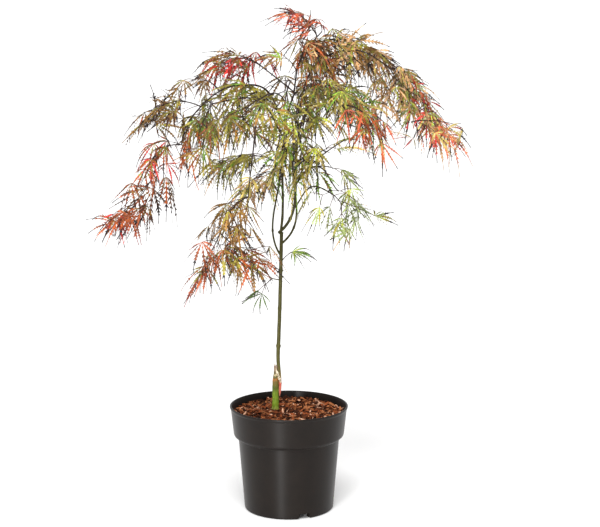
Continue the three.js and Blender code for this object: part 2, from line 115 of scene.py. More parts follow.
# How a spray turns colour, from its foot to its tip: at each place, the tint at a lobe's base,
# along it and at its thin end.
TURNS = {
    "scarlet": [
        ("rust", "coral", "umber"), ("coral", "crimson", "plum"), ("bronze", "rust", "umber"),
        ("scarlet", "scarlet", "umber"),
    ],
    "crown": [
        ("olive", "bronze", "umber"), ("tan", "rust", "umber"), ("rust", "tan", "umber"),
        ("olive", "olive", "umber"), ("straw", "bronze", "umber"),
    ],
    "upper": [
        ("coral", "scarlet", "plum"), ("bronze", "scarlet", "plum"), ("olive", "bronze", "umber"),
        ("bronze", "bronze", "plum"), ("bronze", "chestnut", "umber"), ("olive", "bronze", "plum"),
    ],
    "bronze": [("olive", "bronze", "umber"), ("bronze", "bronze", "plum"), ("bronze", "chestnut", "umber")],
    "arch": [("olive", "olive", "umber"), ("leaf_green", "olive", "umber"), ("bronze", "olive", "umber")],
    "turning": [
        ("olive", "bronze", "umber"), ("olive", "bronze", "plum"), ("bronze", "chestnut", "umber"),
        ("bronze", "rust", "plum"), ("rust", "crimson", "plum"),
    ],
    "red_fan": [
        ("olive", "rust", "umber"), ("bronze", "rust", "umber"), ("scarlet", "scarlet", "crimson"),
        ("scarlet", "scarlet", "plum"),
    ],
    "orange": [
        ("leaf_green", "olive", "umber"), ("olive", "rust", "umber"), ("olive", "bronze", "plum"),
        ("bronze", "bronze", "plum"), ("rust", "rust", "plum"),
    ],
    "low_left": [
        ("bronze", "chestnut", "umber"), ("bronze", "rust", "umber"), ("rust", "rust", "plum"),
        ("rust", "rust", "crimson"), ("rust", "crimson", "plum"), ("crimson", "scarlet", "plum"),
    ],
    "olive": [("olive", "olive", "umber"), ("leaf_green", "olive", "umber"), ("bronze", "bronze", "umber")],
    "dusk": [("olive", "bronze", "umber"), ("leaf_green", "olive", "umber"), ("bronze", "chestnut", "umber")],
    "bright": [
        ("leaf_green", "leaf_green", "umber"), ("yellow_green", "leaf_green", "umber"),
        ("yellow_green", "grey_green", "umber"), ("olive", "tan", "umber"),
    ],
    "sunny": [
        ("yellow_green", "olive", "umber"), ("olive", "straw", "umber"),
        ("leaf_green", "leaf_green", "umber"), ("straw", "bronze", "umber"),
    ],
    "rusty": [
        ("bronze", "olive", "umber"), ("rust", "rust", "umber"), ("coral", "rust", "crimson"),
        ("coral", "coral", "plum"),
    ],
    "rust": [("olive", "bronze", "umber"), ("rust", "rust", "umber"), ("bronze", "rust", "plum")],
    "inner": [("straw", "straw", "umber"), ("tan", "tan", "umber"), ("yellow_green", "olive", "umber")],
    "coral": [
        ("coral", "coral", "umber"), ("olive", "rust", "umber"), ("straw", "coral", "umber"),
        ("coral", "rust", "umber"), ("leaf_green", "olive", "umber"),
    ],
    "mixed": [
        ("yellow_green", "grey_green", "tan"), ("grey_green", "straw", "umber"),
        ("coral", "scarlet", "umber"), ("grey_green", "tan", "umber"), ("coral", "coral", "tan"),
        ("olive", "tan", "umber"),
    ],
    "right_tip": [
        ("straw", "straw", "umber"), ("coral", "coral", "tan"), ("tan", "coral", "umber"),
        ("olive", "straw", "umber"),
    ],
    "pale": [
        ("grey_green", "grey_green", "umber"), ("yellow_green", "olive", "umber"),
        ("grey_green", "grey_green", "umber"), ("yellow_green", "grey_green", "tan"),
    ],
    "dark_green": [("deep_green", "deep_green", "umber")],
    "brown": [
        ("straw", "tan", "umber"), ("olive", "bronze", "umber"), ("tan", "tan", "plum"),
        ("yellow_green", "straw", "umber"), ("tan", "bronze", "umber"), ("olive", "tan", "umber"),
    ],
    "cascade": [
        ("straw", "tan", "umber"), ("bronze", "tan", "umber"), ("yellow_green", "tan", "umber"),
        ("tan", "bronze", "umber"), ("coral", "coral", "umber"),
    ],
}

# One spray of leaves: the bough or spray that carries it, the share of that one's length where it
# starts, its turn of colour, how thickly it is leaved, where 0 leaves only the pair at its end, how
# far below and beyond its mass the leaves may reach, in millimetres, or, under zero, how far inside
# they stop, and the share of the mass's height, from below, that they take up.
Spray = namedtuple("Spray", "carrier share turn fill room crest")
SPRAYS = {
    "top_red": Spray("top_shoot", 0.9, "scarlet", 1.1, -22, 1.0),
    "top_crown": Spray("top_shoot", 0.5, "crown", 2.2, 34, 1.0),
    "top_left": Spray("top_shoot", 0.3, "dusk", 0.0, 14, 1.0),
    "upper_left": Spray("upper_left_bough", 0.6, "upper", 0.62, 0, 0.8),
    "left_shoulder": Spray("left_arch_fall", 0.3, "bronze", 0.36, -14, 1.0),
    "left_arch": Spray("left_arch_rise", 0.1, "arch", 0.36, 0, 1.0),
    "far_left": Spray("left_arch_fall", 0.55, "turning", 0.5, -8, 1.0),
    "left_red_fan": Spray("left_arch_fall", 1.0, "red_fan", 0.55, 4, 1.0),
    "left_orange_fan": Spray("left_middle_bough", 1.0, "orange", 0.45, -28, 1.0),
    "far_left_low": Spray("left_red_fan", 0.4, "low_left", 0.26, -12, 0.7),
    "back_left": Spray("back_left_bough", 1.0, "olive", 0.7, -6, 1.0),
    "front_left": Spray("front_left_bough", 1.0, "dusk", 1.05, 8, 1.0),
    "back_low_left": Spray("back_low_left_bough", 0.6, "olive", 0.3, -20, 1.0),
    "lower_left": Spray("left_hanging_shoot", 1.0, "bronze", 0.9, 0, 1.0),
    "lower_left_tip": Spray("lower_left", 0.72, "rusty", 0.42, -10, 0.75),
    "lower_middle": Spray("lower_left", 0.7, "rust", 0.62, -8, 1.0),
    "inner_left": Spray("back_low_left_bough", 0.1, "inner", 0.42, 0, 1.0),
    "trunk_left": Spray("trunk_twig", 1.0, "dark_green", 0.15, -16, 1.0),
    "trunk_right": Spray("trunk", 0.84, "bright", 0.0, -22, 1.0),
    "trunk_bright": Spray("right_leader", 0.9, "sunny", 0.7, -22, 1.0),
    "right_dome": Spray("top_right_bough", 0.1, "brown", 0.62, 34, 0.68),
    "right_cascade": Spray("right_arch_fall", 0.8, "cascade", 0.54, 46, 1.0),
    "coral_fan": Spray("right_front_bough", 0.9, "coral", 0.42, -24, 1.0),
    "right_inner": Spray("right_front_bough", 0.45, "sunny", 0.42, 6, 1.0),
    "far_right": Spray("right_arch_fall", 1.0, "mixed", 0.48, 4, 1.0),
    "far_right_tip": Spray("right_cascade", 0.92, "right_tip", 0.4, -8, 1.0),
    "lower_right_fan": Spray("lower_right_bough", 0.85, "pale", 0.7, -12, 0.8),
    "lower_right_shoulder": Spray("back_low_right_bough", 0.45, "pale", 0.0, -26, 1.0),
    "right_low": Spray("right_low_bough", 0.0, "sunny", 0.0, -20, 1.0),
    "back_right": Spray("back_right_bough", 0.9, "sunny", 0.7, 32, 1.0),
    "back_low_right": Spray("back_right", 0.5, "sunny", 0.2, -22, 1.0),
    "back_crown": Spray("back_bough", 1.0, "dusk", 0.52, 10, 1.0),
    "front_crown": Spray("front_bough", 0.35, "dusk", 0.0, -12, 0.9),
}

# Height and radius of the rootstock and its cut-off end, in millimetres over the ground.
ROOTSTOCK = [
    (-2, 7.6), (0, 7.2), (3, 6.1), (8, 5.4), (20, 5.2), (40, 5.4), (51, 5.2), (57, 4.4),
    (62, 3.3), (70, 3.05), (79, 3.0),
]

# Height and radius of the scion, from its heel on the rootstock's flank to the fork.
SCION = [
    (25, 0.5), (30, 1.5), (38, 2.2), (50, 2.6), (64, 2.8), (96, 3.1), (170, 3.05), (250, 2.9),
    (292, 2.8),
]

GROUND = 158.0  # height of the soil at the trunk, in millimetres
FORK = 450.0  # height of the fork, in millimetres
BED_RADIUS = 0.0905  # reach of the mulch, to the pot's wall, in metres
CHIP_SIDES = 6

# The drain notches in the pot's foot, in degrees and millimetres: where the first one stands, the
# turn between them, the foot's radius, half a notch's width, its sloping side and its height.
NOTCH_FIRST, NOTCH_TURN = -69, 120
FOOT_RADIUS, NOTCH_HALF, NOTCH_SLOPE, NOTCH_HEIGHT = 72.3, 10.2, 2.6, 8.8

# The seven lobes of a leaf: each one's angle from the middle lobe and its share of that one's
# length, then the steps along a lobe and the points of one tooth.
LOBE_ANGLES = np.radians([-80, -52, -26, 0, 26, 52, 80])
LOBE_LENGTHS = np.array([0.42, 0.76, 0.95, 1.0, 0.95, 0.76, 0.42])
LOBE_STEPS = 10
TOOTH_POINTS = 4


def linear(code):
    """An sRGB hex colour as linear red, green and blue."""
    parts = np.array([int(code[i : i + 2], 16) for i in (1, 3, 5)]) / 255
    return tuple(np.where(parts <= 0.04045, parts / 12.92, ((parts + 0.055) / 1.055) ** 2.4).tolist())


# ---------------------------------------------------------------- settings


def length(name, description, millimetres):
    """A size that the sidebar shows in the scene's units, between 0.1 mm and 2 m."""
    return bpy.props.FloatProperty(
        name=name, description=description, default=millimetres * MM,
        min=0.1 * MM, max=2000.0 * MM, unit="LENGTH", precision=4,
    )


def colour(name, description, code):
    """A colour that the sidebar shows as a swatch."""
    return bpy.props.FloatVectorProperty(
        name=name, description=description, default=linear(code), subtype="COLOR", min=0.0, max=1.0,
    )


class MapleSizes(bpy.types.PropertyGroup):
    """Sizes of what the pot holds and of what grows on the boughs."""

    chips: bpy.props.IntProperty(
        name="Bark chips", description="How many chips of bark cover the soil", default=1900, min=0, max=3000,
    )
    chip_length: length("Chip length", "Length of an average bark chip", 7.4)
    leaf_length: length("Leaf length", "Length of the middle lobe of an average leaf", 90)
    tooth_length: length("Tooth length", "Length of the longest teeth along a lobe", 11)
    stalk_length: length("Leaf stalk", "Length of an average leaf stalk", 26)
    node_spacing: length("Leaf spacing", "Distance between pairs of leaves along a twig", 23)
    twig_girth: length("Twig girth", "Diameter of a twig at its foot", 2.1)
    droop: bpy.props.FloatProperty(
        name="Droop", description="How strongly the lobes of a leaf hang", default=0.75, min=0.0, max=4.0,
    )
    seed: bpy.props.IntProperty(
        name="Seed", description="Start of the branching rule's chances", default=5, min=0,
    )


class MapleColours(bpy.types.PropertyGroup):
    """Main colours of the finishes."""

    pot: colour("Pot", "Moulded plastic of the pot", "#150f0b")
    chip: colour("Mulch", "Bark chips on the soil", "#8a4826")
    rootstock: colour("Rootstock", "Green bark under the graft", "#6c8322")
    scion: colour("Scion", "Bark over the graft", "#56521f")
    bough: colour("Boughs", "Bark of the boughs and twigs", "#241613")


# ---------------------------------------------------------------- mesh and material helpers


def build(name, points, faces, material, smooth=True):
    """A mesh object from points and index arrays, one array for each number of corners."""
    mesh = bpy.data.meshes.new(name)
    corners = np.concatenate([f.ravel() for f in faces]).astype(np.int32)
    counts = np.concatenate([np.full(len(f), f.shape[1]) for f in faces])
    mesh.vertices.add(len(points))
    mesh.vertices.foreach_set("co", np.asarray(points, np.float32).ravel())
    mesh.loops.add(len(corners))
    mesh.loops.foreach_set("vertex_index", corners)
    mesh.polygons.add(len(counts))
    mesh.polygons.foreach_set("loop_start", (np.cumsum(counts) - counts).astype(np.int32))
    mesh.polygons.foreach_set("use_smooth", np.full(len(counts), smooth))
    mesh.update(calc_edges=True)
    mesh.validate()
    if len(mesh.polygons) != len(counts):
        raise RuntimeError(f"{name}: {len(counts) - len(mesh.polygons)} faces were not valid")
    mesh.materials.append(material)
    piece = bpy.data.objects.new(name, mesh)
    bpy.context.scene.collection.objects.link(piece)
    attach(piece, "root")
    return piece


def grid_faces(rows, columns, wrap=False):
    """Quads of a grid of rows by columns of points, closed round its columns when wrap is set."""
    reach = columns if wrap else columns - 1
    row, column = np.meshgrid(np.arange(rows - 1), np.arange(reach), indexing="ij")
    following = (column + 1) % columns
    here, above = row * columns, (row + 1) * columns
    corners = [here + column, here + following, above + following, above + column]
    return np.stack(corners, -1).reshape(-1, 4)


def copies(faces, stride, count):
    """The same faces for a number of bodies, each with its own run of points."""
    shift = np.arange(count)[:, None, None] * stride
    return (faces[None] + shift).reshape(-1, faces.shape[1])


def unit(v):
    """Vectors of length one."""
    return v / np.maximum(np.linalg.norm(v, axis=-1, keepdims=True), 1e-12)


def add_node(tree, kind, inputs=None, **settings):
    """Adds a node, sets its settings, and links or sets each named input."""
    node = tree.nodes.new(kind)
    for key, value in settings.items():
        setattr(node, key, value)
    for key, value in (inputs or {}).items():
        if isinstance(value, bpy.types.NodeSocket):
            tree.links.new(value, node.inputs[key])
        else:
            node.inputs[key].default_value = value
    return node


def new_material(name):
    """An empty material with its Principled shader wired to the output."""
    material = bpy.data.materials.new(name)
    material.use_nodes = True
    tree = material.node_tree
    tree.nodes.clear()
    shader = add_node(tree, "ShaderNodeBsdfPrincipled")
    add_node(tree, "ShaderNodeOutputMaterial", {"Surface": shader.outputs[0]})
    return material, tree, shader


def ramp(tree, factor, stops):
    """A colour ramp over the factor, from (position, linear colour) stops."""
    node = add_node(tree, "ShaderNodeValToRGB", {"Fac": factor})
    while len(node.color_ramp.elements) < len(stops):
        node.color_ramp.elements.new(1.0)
    for element, (position, rgb) in zip(node.color_ramp.elements, stops):
        element.position = position
        element.color = (*rgb, 1.0)
    return node.outputs["Color"]


def shade(rgb, factor):
    """A linear colour made lighter or darker."""
    return tuple(min(c * factor, 1.0) for c in rgb)


# ---------------------------------------------------------------- materials


def moulded_plastic(colours):
    """Polypropylene with carbon black, injection moulded: a satin skin with a faint mottle, its
    sheen drawn out lengthwise where the pot slid out of the mould."""
    material, tree, shader = new_material("moulded_polypropylene")
    place = add_node(tree, "ShaderNodeTexCoord").outputs["Object"]
    cloud = add_node(tree, "ShaderNodeTexNoise", {"Vector": place, "Scale": 40.0, "Detail": 3.0})
    grain = add_node(tree, "ShaderNodeTexNoise", {"Vector": place, "Scale": 900.0, "Detail": 2.0})
    base = tuple(colours.pot)
    tone = ramp(tree, cloud.outputs["Fac"], [(0.35, shade(base, 0.85)), (0.7, shade(base, 1.2))])
    rough = add_node(tree, "ShaderNodeMapRange", {
        "Value": cloud.outputs["Fac"], "To Min": 0.38, "To Max": 0.46,
    })
    round_about = add_node(tree, "ShaderNodeTangent", direction_type="RADIAL", axis="Z")
    bump = add_node(tree, "ShaderNodeBump", {
        "Height": grain.outputs["Fac"], "Strength": 0.08, "Distance": 0.0003,
    })
    tree.links.new(tone, shader.inputs["Base Color"])
    tree.links.new(rough.outputs[0], shader.inputs["Roughness"])
    tree.links.new(bump.outputs[0], shader.inputs["Normal"])
    tree.links.new(round_about.outputs[0], shader.inputs["Tangent"])
    shader.inputs["Anisotropic"].default_value = 0.75
    shader.inputs["Anisotropic Rotation"].default_value = 0.25
    shader.inputs["IOR"].default_value = 1.49
    shader.inputs["Specular IOR Level"].default_value = 0.22
    return material


def chipped_bark(name, base, spread):
    """Pine bark, shredded: dull fibrous chips with lighter streaks of torn wood."""
    material, tree, shader = new_material(name)
    place = add_node(tree, "ShaderNodeTexCoord").outputs["Object"]
    patch = add_node(tree, "ShaderNodeTexNoise", {"Vector": place, "Scale": 160.0, "Detail": 4.0})
    fibre = add_node(tree, "ShaderNodeTexNoise", {"Vector": place, "Scale": 900.0, "Detail": 3.0})
    tone = ramp(tree, patch.outputs["Fac"], [
        (0.3, shade(base, 1 - spread)), (0.5, base), (0.72, shade(base, 1 + 1.4 * spread)),
    ])
    bump = add_node(tree, "ShaderNodeBump", {
        "Height": fibre.outputs["Fac"], "Strength": 0.5, "Distance": 0.0008,
    })
    tree.links.new(tone, shader.inputs["Base Color"])
    tree.links.new(bump.outputs[0], shader.inputs["Normal"])
    shader.inputs["Roughness"].default_value = 0.92
    shader.inputs["Specular IOR Level"].default_value = 0.2
    return material


def living_bark(name, stops, roughness=0.6):
    """Smooth young bark: its colour changes up the stem, through stops of height in millimetres and
    linear colour, with fine length-wise streaks and pale pores."""
    material, tree, shader = new_material(name)
    bottom, top = stops[0][0] * MM, stops[-1][0] * MM
    place = add_node(tree, "ShaderNodeTexCoord").outputs["Object"]
    height = add_node(tree, "ShaderNodeSeparateXYZ", {"Vector": place}).outputs["Z"]
    squeezed = add_node(tree, "ShaderNodeMapping", {"Vector": place, "Scale": (1.0, 1.0, 0.25)})
    streak = add_node(tree, "ShaderNodeTexNoise", {
        "Vector": squeezed.outputs[0], "Scale": 520.0, "Detail": 4.0,
    })
    blotch = add_node(tree, "ShaderNodeTexNoise", {"Vector": place, "Scale": 210.0, "Detail": 3.0})
    pores = add_node(tree, "ShaderNodeTexVoronoi", {"Vector": place, "Scale": 330.0})
    wander = add_node(tree, "ShaderNodeMath", {0: blotch.outputs["Fac"], 1: 0.014}, operation="MULTIPLY")
    level = add_node(tree, "ShaderNodeMath", {0: height, 1: wander.outputs[0]}, operation="ADD")
    climb = add_node(tree, "ShaderNodeMapRange", {
        "Value": level.outputs[0], "From Min": bottom + 0.007, "From Max": top + 0.007,
    })
    tone = ramp(tree, climb.outputs[0], [((at * MM - bottom) / (top - bottom), rgb) for at, rgb in stops])
    light = ramp(tree, streak.outputs["Fac"], [
        (0.3, (0.5,) * 3), (0.5, (1.0,) * 3), (0.75, (1.4, 1.35, 1.2)),
    ])
    streaked = add_node(
        tree, "ShaderNodeMix", {"Factor": 0.8, 6: tone, 7: light}, data_type="RGBA", blend_type="MULTIPLY",
    )
    speck = ramp(tree, pores.outputs["Distance"], [(0.08, (1.35, 1.3, 1.15)), (0.2, (1.0,) * 3)])
    spotted = add_node(
        tree, "ShaderNodeMix", {"Factor": 0.5, 6: streaked.outputs[2], 7: speck},
        data_type="RGBA", blend_type="MULTIPLY",
    )
    bump = add_node(tree, "ShaderNodeBump", {
        "Height": streak.outputs["Fac"], "Strength": 0.35, "Distance": 0.0006,
    })
    tree.links.new(spotted.outputs[2], shader.inputs["Base Color"])
    tree.links.new(bump.outputs[0], shader.inputs["Normal"])
    shader.inputs["Roughness"].default_value = roughness
    shader.inputs["Specular IOR Level"].default_value = 0.22
    return material


def grafting_wax():
    """Wax brushed over the graft: cream, a little shiny, darker olive-brown in its dips."""
    material, tree, shader = new_material("brushed_grafting_wax")
    place = add_node(tree, "ShaderNodeTexCoord").outputs["Object"]
    dip_noise = add_node(tree, "ShaderNodeTexNoise", {"Vector": place, "Scale": 420.0, "Detail": 3.0})
    # The tone is darker olive-brown where this noise is low, the same places where the bump sinks.
    tone = ramp(tree, dip_noise.outputs["Fac"], [
        (0.36, linear("#5d5a33")), (0.46, linear("#b9a585")), (0.6, linear("#e6dcc6")),
    ])
    bump = add_node(tree, "ShaderNodeBump", {
        "Height": dip_noise.outputs["Fac"], "Strength": 0.6, "Distance": 0.0008,
    })
    tree.links.new(tone, shader.inputs["Base Color"])
    tree.links.new(bump.outputs[0], shader.inputs["Normal"])
    shader.inputs["Roughness"].default_value = 0.45
    return material


def leaf_blade(name, base):
    """A thin living leaf: a soft sheen over one tint, a little lighter and darker from place to place."""
    material, tree, shader = new_material(name)
    place = add_node(tree, "ShaderNodeTexCoord").outputs["Object"]
    cloud = add_node(tree, "ShaderNodeTexNoise", {"Vector": place, "Scale": 50.0, "Detail": 2.0})
    tone = ramp(tree, cloud.outputs["Fac"], [
        (0.32, shade(base, 0.4)), (0.5, shade(base, 0.95)), (0.68, shade(base, 1.75)),
    ])
    bump = add_node(tree, "ShaderNodeBump", {
        "Height": cloud.outputs["Fac"], "Strength": 0.2, "Distance": 0.001,
    })
    tree.links.new(tone, shader.inputs["Base Color"])
    tree.links.new(bump.outputs[0], shader.inputs["Normal"])
    shader.inputs["Roughness"].default_value = 0.5
    shader.inputs["Specular IOR Level"].default_value = 0.35
    return material


# ---------------------------------------------------------------- lines through the frame's solids


def surface_points(node, rng, count):
    """Points spread evenly over a CAD node's triangles."""
    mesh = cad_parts[node].data
    co = np.empty(len(mesh.vertices) * 3)
    mesh.vertices.foreach_get("co", co)
    tri = co.reshape(-1, 3, 3)
    area = np.linalg.norm(np.cross(tri[:, 1] - tri[:, 0], tri[:, 2] - tri[:, 0]), axis=1)
    pick = rng.choice(len(tri), count, p=area / area.sum())
    u, v = rng.random((2, count))
    flip = u + v > 1
    u, v = np.where(flip, 1 - u, u)[:, None], np.where(flip, 1 - v, v)[:, None]
    corner = tri[pick, 0]
    return corner + u * (tri[pick, 1] - corner) + v * (tri[pick, 2] - corner)


def trunk_line(share):
    """The trunk's middle line: a straight lean with a slight bow to the right."""
    share = np.asarray(share, float)[..., None]
    foot = np.array([-22, 8, GROUND]) * MM
    fork = np.array([-11.5, 7.5, FORK]) * MM
    bow = np.array([1.4, 0, 0]) * MM
    return foot + (fork - foot) * share + bow * np.sin(np.pi * share)


def bough_line(node, parent, rng, stations=40, slices=16):
    """The middle line and radius of a limb: a smooth curve of the fourth degree through the means
    of its slices, and a straight taper, from the end that is nearer to its parent."""
    points = surface_points(node, rng, 3000)
    middle = points.mean(0)
    axis = np.linalg.svd(points - middle, full_matrices=False)[2][0]
    along = (points - middle) @ axis
    low, high = along.min(), along.max()
    share = (along - low) / (high - low)
    slots = np.clip((share * slices).astype(int), 0, slices - 1)
    counts = np.bincount(slots, minlength=slices)[:, None]
    means = np.stack([np.bincount(slots, points[:, k], slices) for k in range(3)], 1) / counts
    fit = np.polynomial.polynomial.polyfit((np.arange(slices) + 0.5) / slices, means, 4)
    line = np.polynomial.polynomial.polyval(np.linspace(0, 1, stations), fit).T
    centre = np.polynomial.polynomial.polyval(share, fit).T
    radius = np.linalg.norm(points - centre, axis=1)
    slope = np.polynomial.polynomial.polyfit(share, radius, 1)
    girth = np.polynomial.polynomial.polyval(np.linspace(0, 1, stations), slope)
    gap = [np.linalg.norm(parent - end, axis=1).min() for end in (line[0], line[-1])]
    return (line, girth) if gap[0] < gap[1] else (line[::-1], girth[::-1])


def spray_mass(node, foot, room, crest, rng, stations=24, slices=10):
    """A mass in its own frame, seen from the foot of its spray: axis to its furthest point, upward
    and across. Each slice across the axis has its reach down, up, left and right. room lets the
    leaves hang below that, or keeps them above it, and moves the end of the mass as far as the axis
    points down. crest keeps only the lower share of its height. The twig line is a curve of the
    third degree from the foot, high in each slice, and it stops short where room does."""
    points = surface_points(node, rng, 2400)
    tip = points[np.linalg.norm(points - foot, axis=1).argmax()]
    span = np.linalg.norm(tip - foot)
    axis = (tip - foot) / span
    upward = unit(UP - (UP @ axis) * axis)
    across = np.cross(axis, upward)
    share = np.clip((points - foot) @ axis / span, 0, 0.999)
    slots = (share * slices).astype(int)
    height, side = (points - foot) @ upward, (points - foot) @ across
    rows = [row for row in range(slices) if (slots == row).sum() > 8]
    least, most = 3, 97  # percentiles that leave out stray corners
    reach = np.array([
        [np.percentile(height[slots == row], least), np.percentile(height[slots == row], most),
         np.percentile(side[slots == row], least), np.percentile(side[slots == row], most)]
        for row in rows
    ]).T
    reach[1] = reach[0] + crest * (reach[1] - reach[0])
    at = (np.array(rows) + 0.5) / slices
    powers = np.stack([at, at**2, at**3], 1)
    lift = np.linalg.lstsq(powers, reach[1] - 0.15 * (reach[1] - reach[0]), rcond=None)[0]
    reach[0] += 0.12 * (reach[1] - reach[0]) - room * upward[2]
    further = room * max(-axis[2], 0.0) if room > 0 else room
    drift = np.linalg.lstsq(powers, (reach[2] + reach[3]) / 2, rcond=None)[0]
    s = np.linspace(0, 1 + min(further, 0) / span, stations)
    rise = np.stack([s, s**2, s**3], 1)
    straight = foot + s[:, None] * span * axis
    line = straight + (rise @ lift)[:, None] * upward + (rise @ drift)[:, None] * across
    return {
        "line": line, "foot": foot, "frame": np.array([axis, upward, across]), "span": span,
        "at": at, "reach": reach, "end": span + further,
    }


def beyond(points, mass):
    """How far points lie outside a mass's slices."""
    along, up, side = np.moveaxis((points - mass["foot"]) @ mass["frame"].T, -1, 0)
    share = along / mass["span"]
    low, high, left, right = (np.interp(share, mass["at"], row) for row in mass["reach"])
    out = np.maximum(low - up, 0) + np.maximum(up - high, 0)
    out = out + np.maximum(left - side, 0) + np.maximum(side - right, 0)
    return out + np.maximum(along - mass["end"], 0) + 0.5 * np.maximum(-along, 0)


def along_line(line, share):
    """The point at a share of a line's length."""
    steps = np.linalg.norm(np.diff(line, axis=0), axis=1)
    travelled = np.concatenate([[0], np.cumsum(steps)]) / steps.sum()
    return np.stack([np.interp(share, travelled, line[:, k]) for k in range(3)], -1)


def skeleton():
    """Every bough's line and radius, foot first, and every spray's mass."""
    rng = np.random.default_rng(11)
    boughs = {"trunk": (trunk_line(np.linspace(0, 1, 60)), None)}
    for name, parent in PARENTS.items():
        boughs[name] = bough_line(f"limb_{name}", boughs[parent][0], rng)
    sprays = {}
    for name, spray in SPRAYS.items():
        line = boughs[spray.carrier][0] if spray.carrier in boughs else sprays[spray.carrier]["line"]
        foot = along_line(line, spray.share)
        sprays[name] = spray_mass(f"leaves_{name}", foot, spray.room * MM, spray.crest, rng)
    return boughs, sprays


# ---------------------------------------------------------------- tubes


def tubes(lines, radii, sides, swell=None):
    """Round bodies carried along lines of equal station count: a ring of points about each station,
    square to the line, and one point to close each end. swell multiplies the radius of each ring
    point."""
    count, stations = lines.shape[:2]
    tangent = unit(np.gradient(lines, axis=1))
    centred = lines - lines.mean(1, keepdims=True)
    flat = np.linalg.svd(centred + 1e-9, full_matrices=False)[2][:, 2]
    first = unit(flat[:, None] - (flat[:, None] * tangent).sum(-1, keepdims=True) * tangent)
    second = np.cross(tangent, first)
    angle = np.linspace(0, 2 * np.pi, sides, endpoint=False)
    reach = radii[..., None] * (1.0 if swell is None else swell)
    rings = (
        lines[:, :, None]
        + (reach * np.cos(angle))[..., None] * first[:, :, None]
        + (reach * np.sin(angle))[..., None] * second[:, :, None]
    )
    points = np.concatenate([lines[:, :1], rings.reshape(count, -1, 3), lines[:, -1:]], axis=1)
    body = grid_faces(stations, sides, wrap=True) + 1
    ring = np.arange(sides)
    last = stations * sides + 1
    foot = np.stack([np.zeros(sides, int), 1 + (ring + 1) % sides, 1 + ring], 1)
    tip = np.stack([np.full(sides, last), last - sides + ring, last - sides + (ring + 1) % sides], 1)
    ends = np.concatenate([foot, tip])
    return points.reshape(-1, 3), [copies(part, last + 1, count) for part in (body, ends)]


# ---------------------------------------------------------------- pot and mulch


def rounded(outline, bend, steps=4):
    """A profile whose corners are rounded: each corner becomes a quadratic arc that starts and ends
    one bend away from it, or less where a side is short."""
    outline = np.asarray(outline, float)
    before, corner, after = outline[:-2], outline[1:-1], outline[2:]
    back, ahead = before - corner, after - corner
    room = np.minimum(np.linalg.norm(back, axis=1), np.linalg.norm(ahead, axis=1)) * 0.45
    cut = np.minimum(np.asarray(bend), room)[:, None]
    start, end = corner + unit(back) * cut, corner + unit(ahead) * cut
    t = np.linspace(0, 1, steps)[None, :, None]
    arcs = (1 - t) ** 2 * start[:, None] + 2 * t * (1 - t) * corner[:, None] + t**2 * end[:, None]
    return np.concatenate([outline[:1], arcs.reshape(-1, 2), outline[-1:]])


def revolved(profile, angles, change=None):
    """A profile of radius and height, from pole to pole, turned about the Z axis on a grid of
    angles. change moves the grid of (radius, height) before it is turned."""
    radius = np.repeat(profile[1:-1, :1], len(angles), 1)
    height = np.repeat(profile[1:-1, 1:], len(angles), 1)
    if change is not None:
        radius, height = change(radius, height, angles[None])
    body = np.stack([radius * np.cos(angles), radius * np.sin(angles), height], -1).reshape(-1, 3)
    rows, columns = radius.shape
    points = np.concatenate([body, [[0, 0, profile[0, 1]], [0, 0, profile[-1, 1]]]])
    ring = np.arange(columns)
    following = (ring + 1) % columns
    first = np.stack([np.full(columns, rows * columns), following, ring], 1)
    final = (rows - 1) * columns
    last = np.stack([np.full(columns, rows * columns + 1), final + ring, final + following], 1)
    return points, [grid_faces(rows, columns, wrap=True), np.concatenate([first, last])]


def notch_arch(angles):
    """Height of the drain notches in the foot at each angle: three flat arches with sloping sides
    and rounded shoulders."""
    turn = np.radians(NOTCH_TURN)
    off = (angles - np.radians(NOTCH_FIRST) + turn / 2) % turn - turn / 2
    across = np.abs(np.sin(off)) * FOOT_RADIUS
    side = np.clip((NOTCH_HALF - across) / NOTCH_SLOPE, 0, 1)
    return NOTCH_HEIGHT * MM * (1 - (1 - side) ** 2.5)


def nursery_pot(colours):
    """The pot: its underside, outside, lip and inside in one profile of radius and height with the
    bend of each corner, turned about Z. The foot is lifted to the notches' arches, which have
    closer angles than the rest."""
    corners = [
        ((0, 0), 0), ((45, 0), 1.2), ((46.5, 9), 1.5), ((58, 9), 1.5), ((59.5, 0), 1.2), ((69.3, 0), 1.2),
        ((71.6, 0.9), 1.2), ((72.3, 3), 1.0), ((72.9, 10.5), 0.3), ((73.2, 14), 0.3),
        ((81.5, 116), 1.0), ((81.7, 117.6), 0.8), ((88.2, 121.6), 1.2), ((89.3, 124.2), 1.6),
        ((93.9, 165), 1.5), ((95.2, 166.8), 0.8), ((95.6, 169.2), 0.7), ((94.8, 170), 0.5),
        ((92.8, 170), 0.6), ((91.8, 166), 1.5), ((87.2, 124.6), 3), ((79.2, 117.5), 3),
        ((70.9, 11.5), 2), ((45, 11.5), 2), ((42.6, 2.5), 1.5), ((0, 2.5), 0),
    ]
    outline = rounded([point for point, _ in corners], [bend for _, bend in corners[1:-1]])
    around = np.linspace(0, 2 * np.pi, 160, endpoint=False)
    close = np.radians(np.linspace(-10, 10, 51))
    notches = [np.radians(NOTCH_FIRST + NOTCH_TURN * k) + close for k in range(3)]
    angles = np.unique(np.round(np.concatenate([around, *notches]) % (2 * np.pi), 5))

    def lift(radius, height, angle):
        """Raises the foot's outside, beyond the drain channel, to the notches' arches."""
        outer = np.arange(len(radius))[:, None] < len(radius) // 2
        foot = outer & (radius > 58.5 * MM) & (height < 9.5 * MM)
        return radius, np.where(foot, np.maximum(height, notch_arch(angle)), height)

    points, faces = revolved(outline * MM, angles, lift)
    piece = build("nursery_pot", points, faces, moulded_plastic(colours))
    piece.data.set_sharp_from_angle(angle=math.radians(50))
    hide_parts("pot")


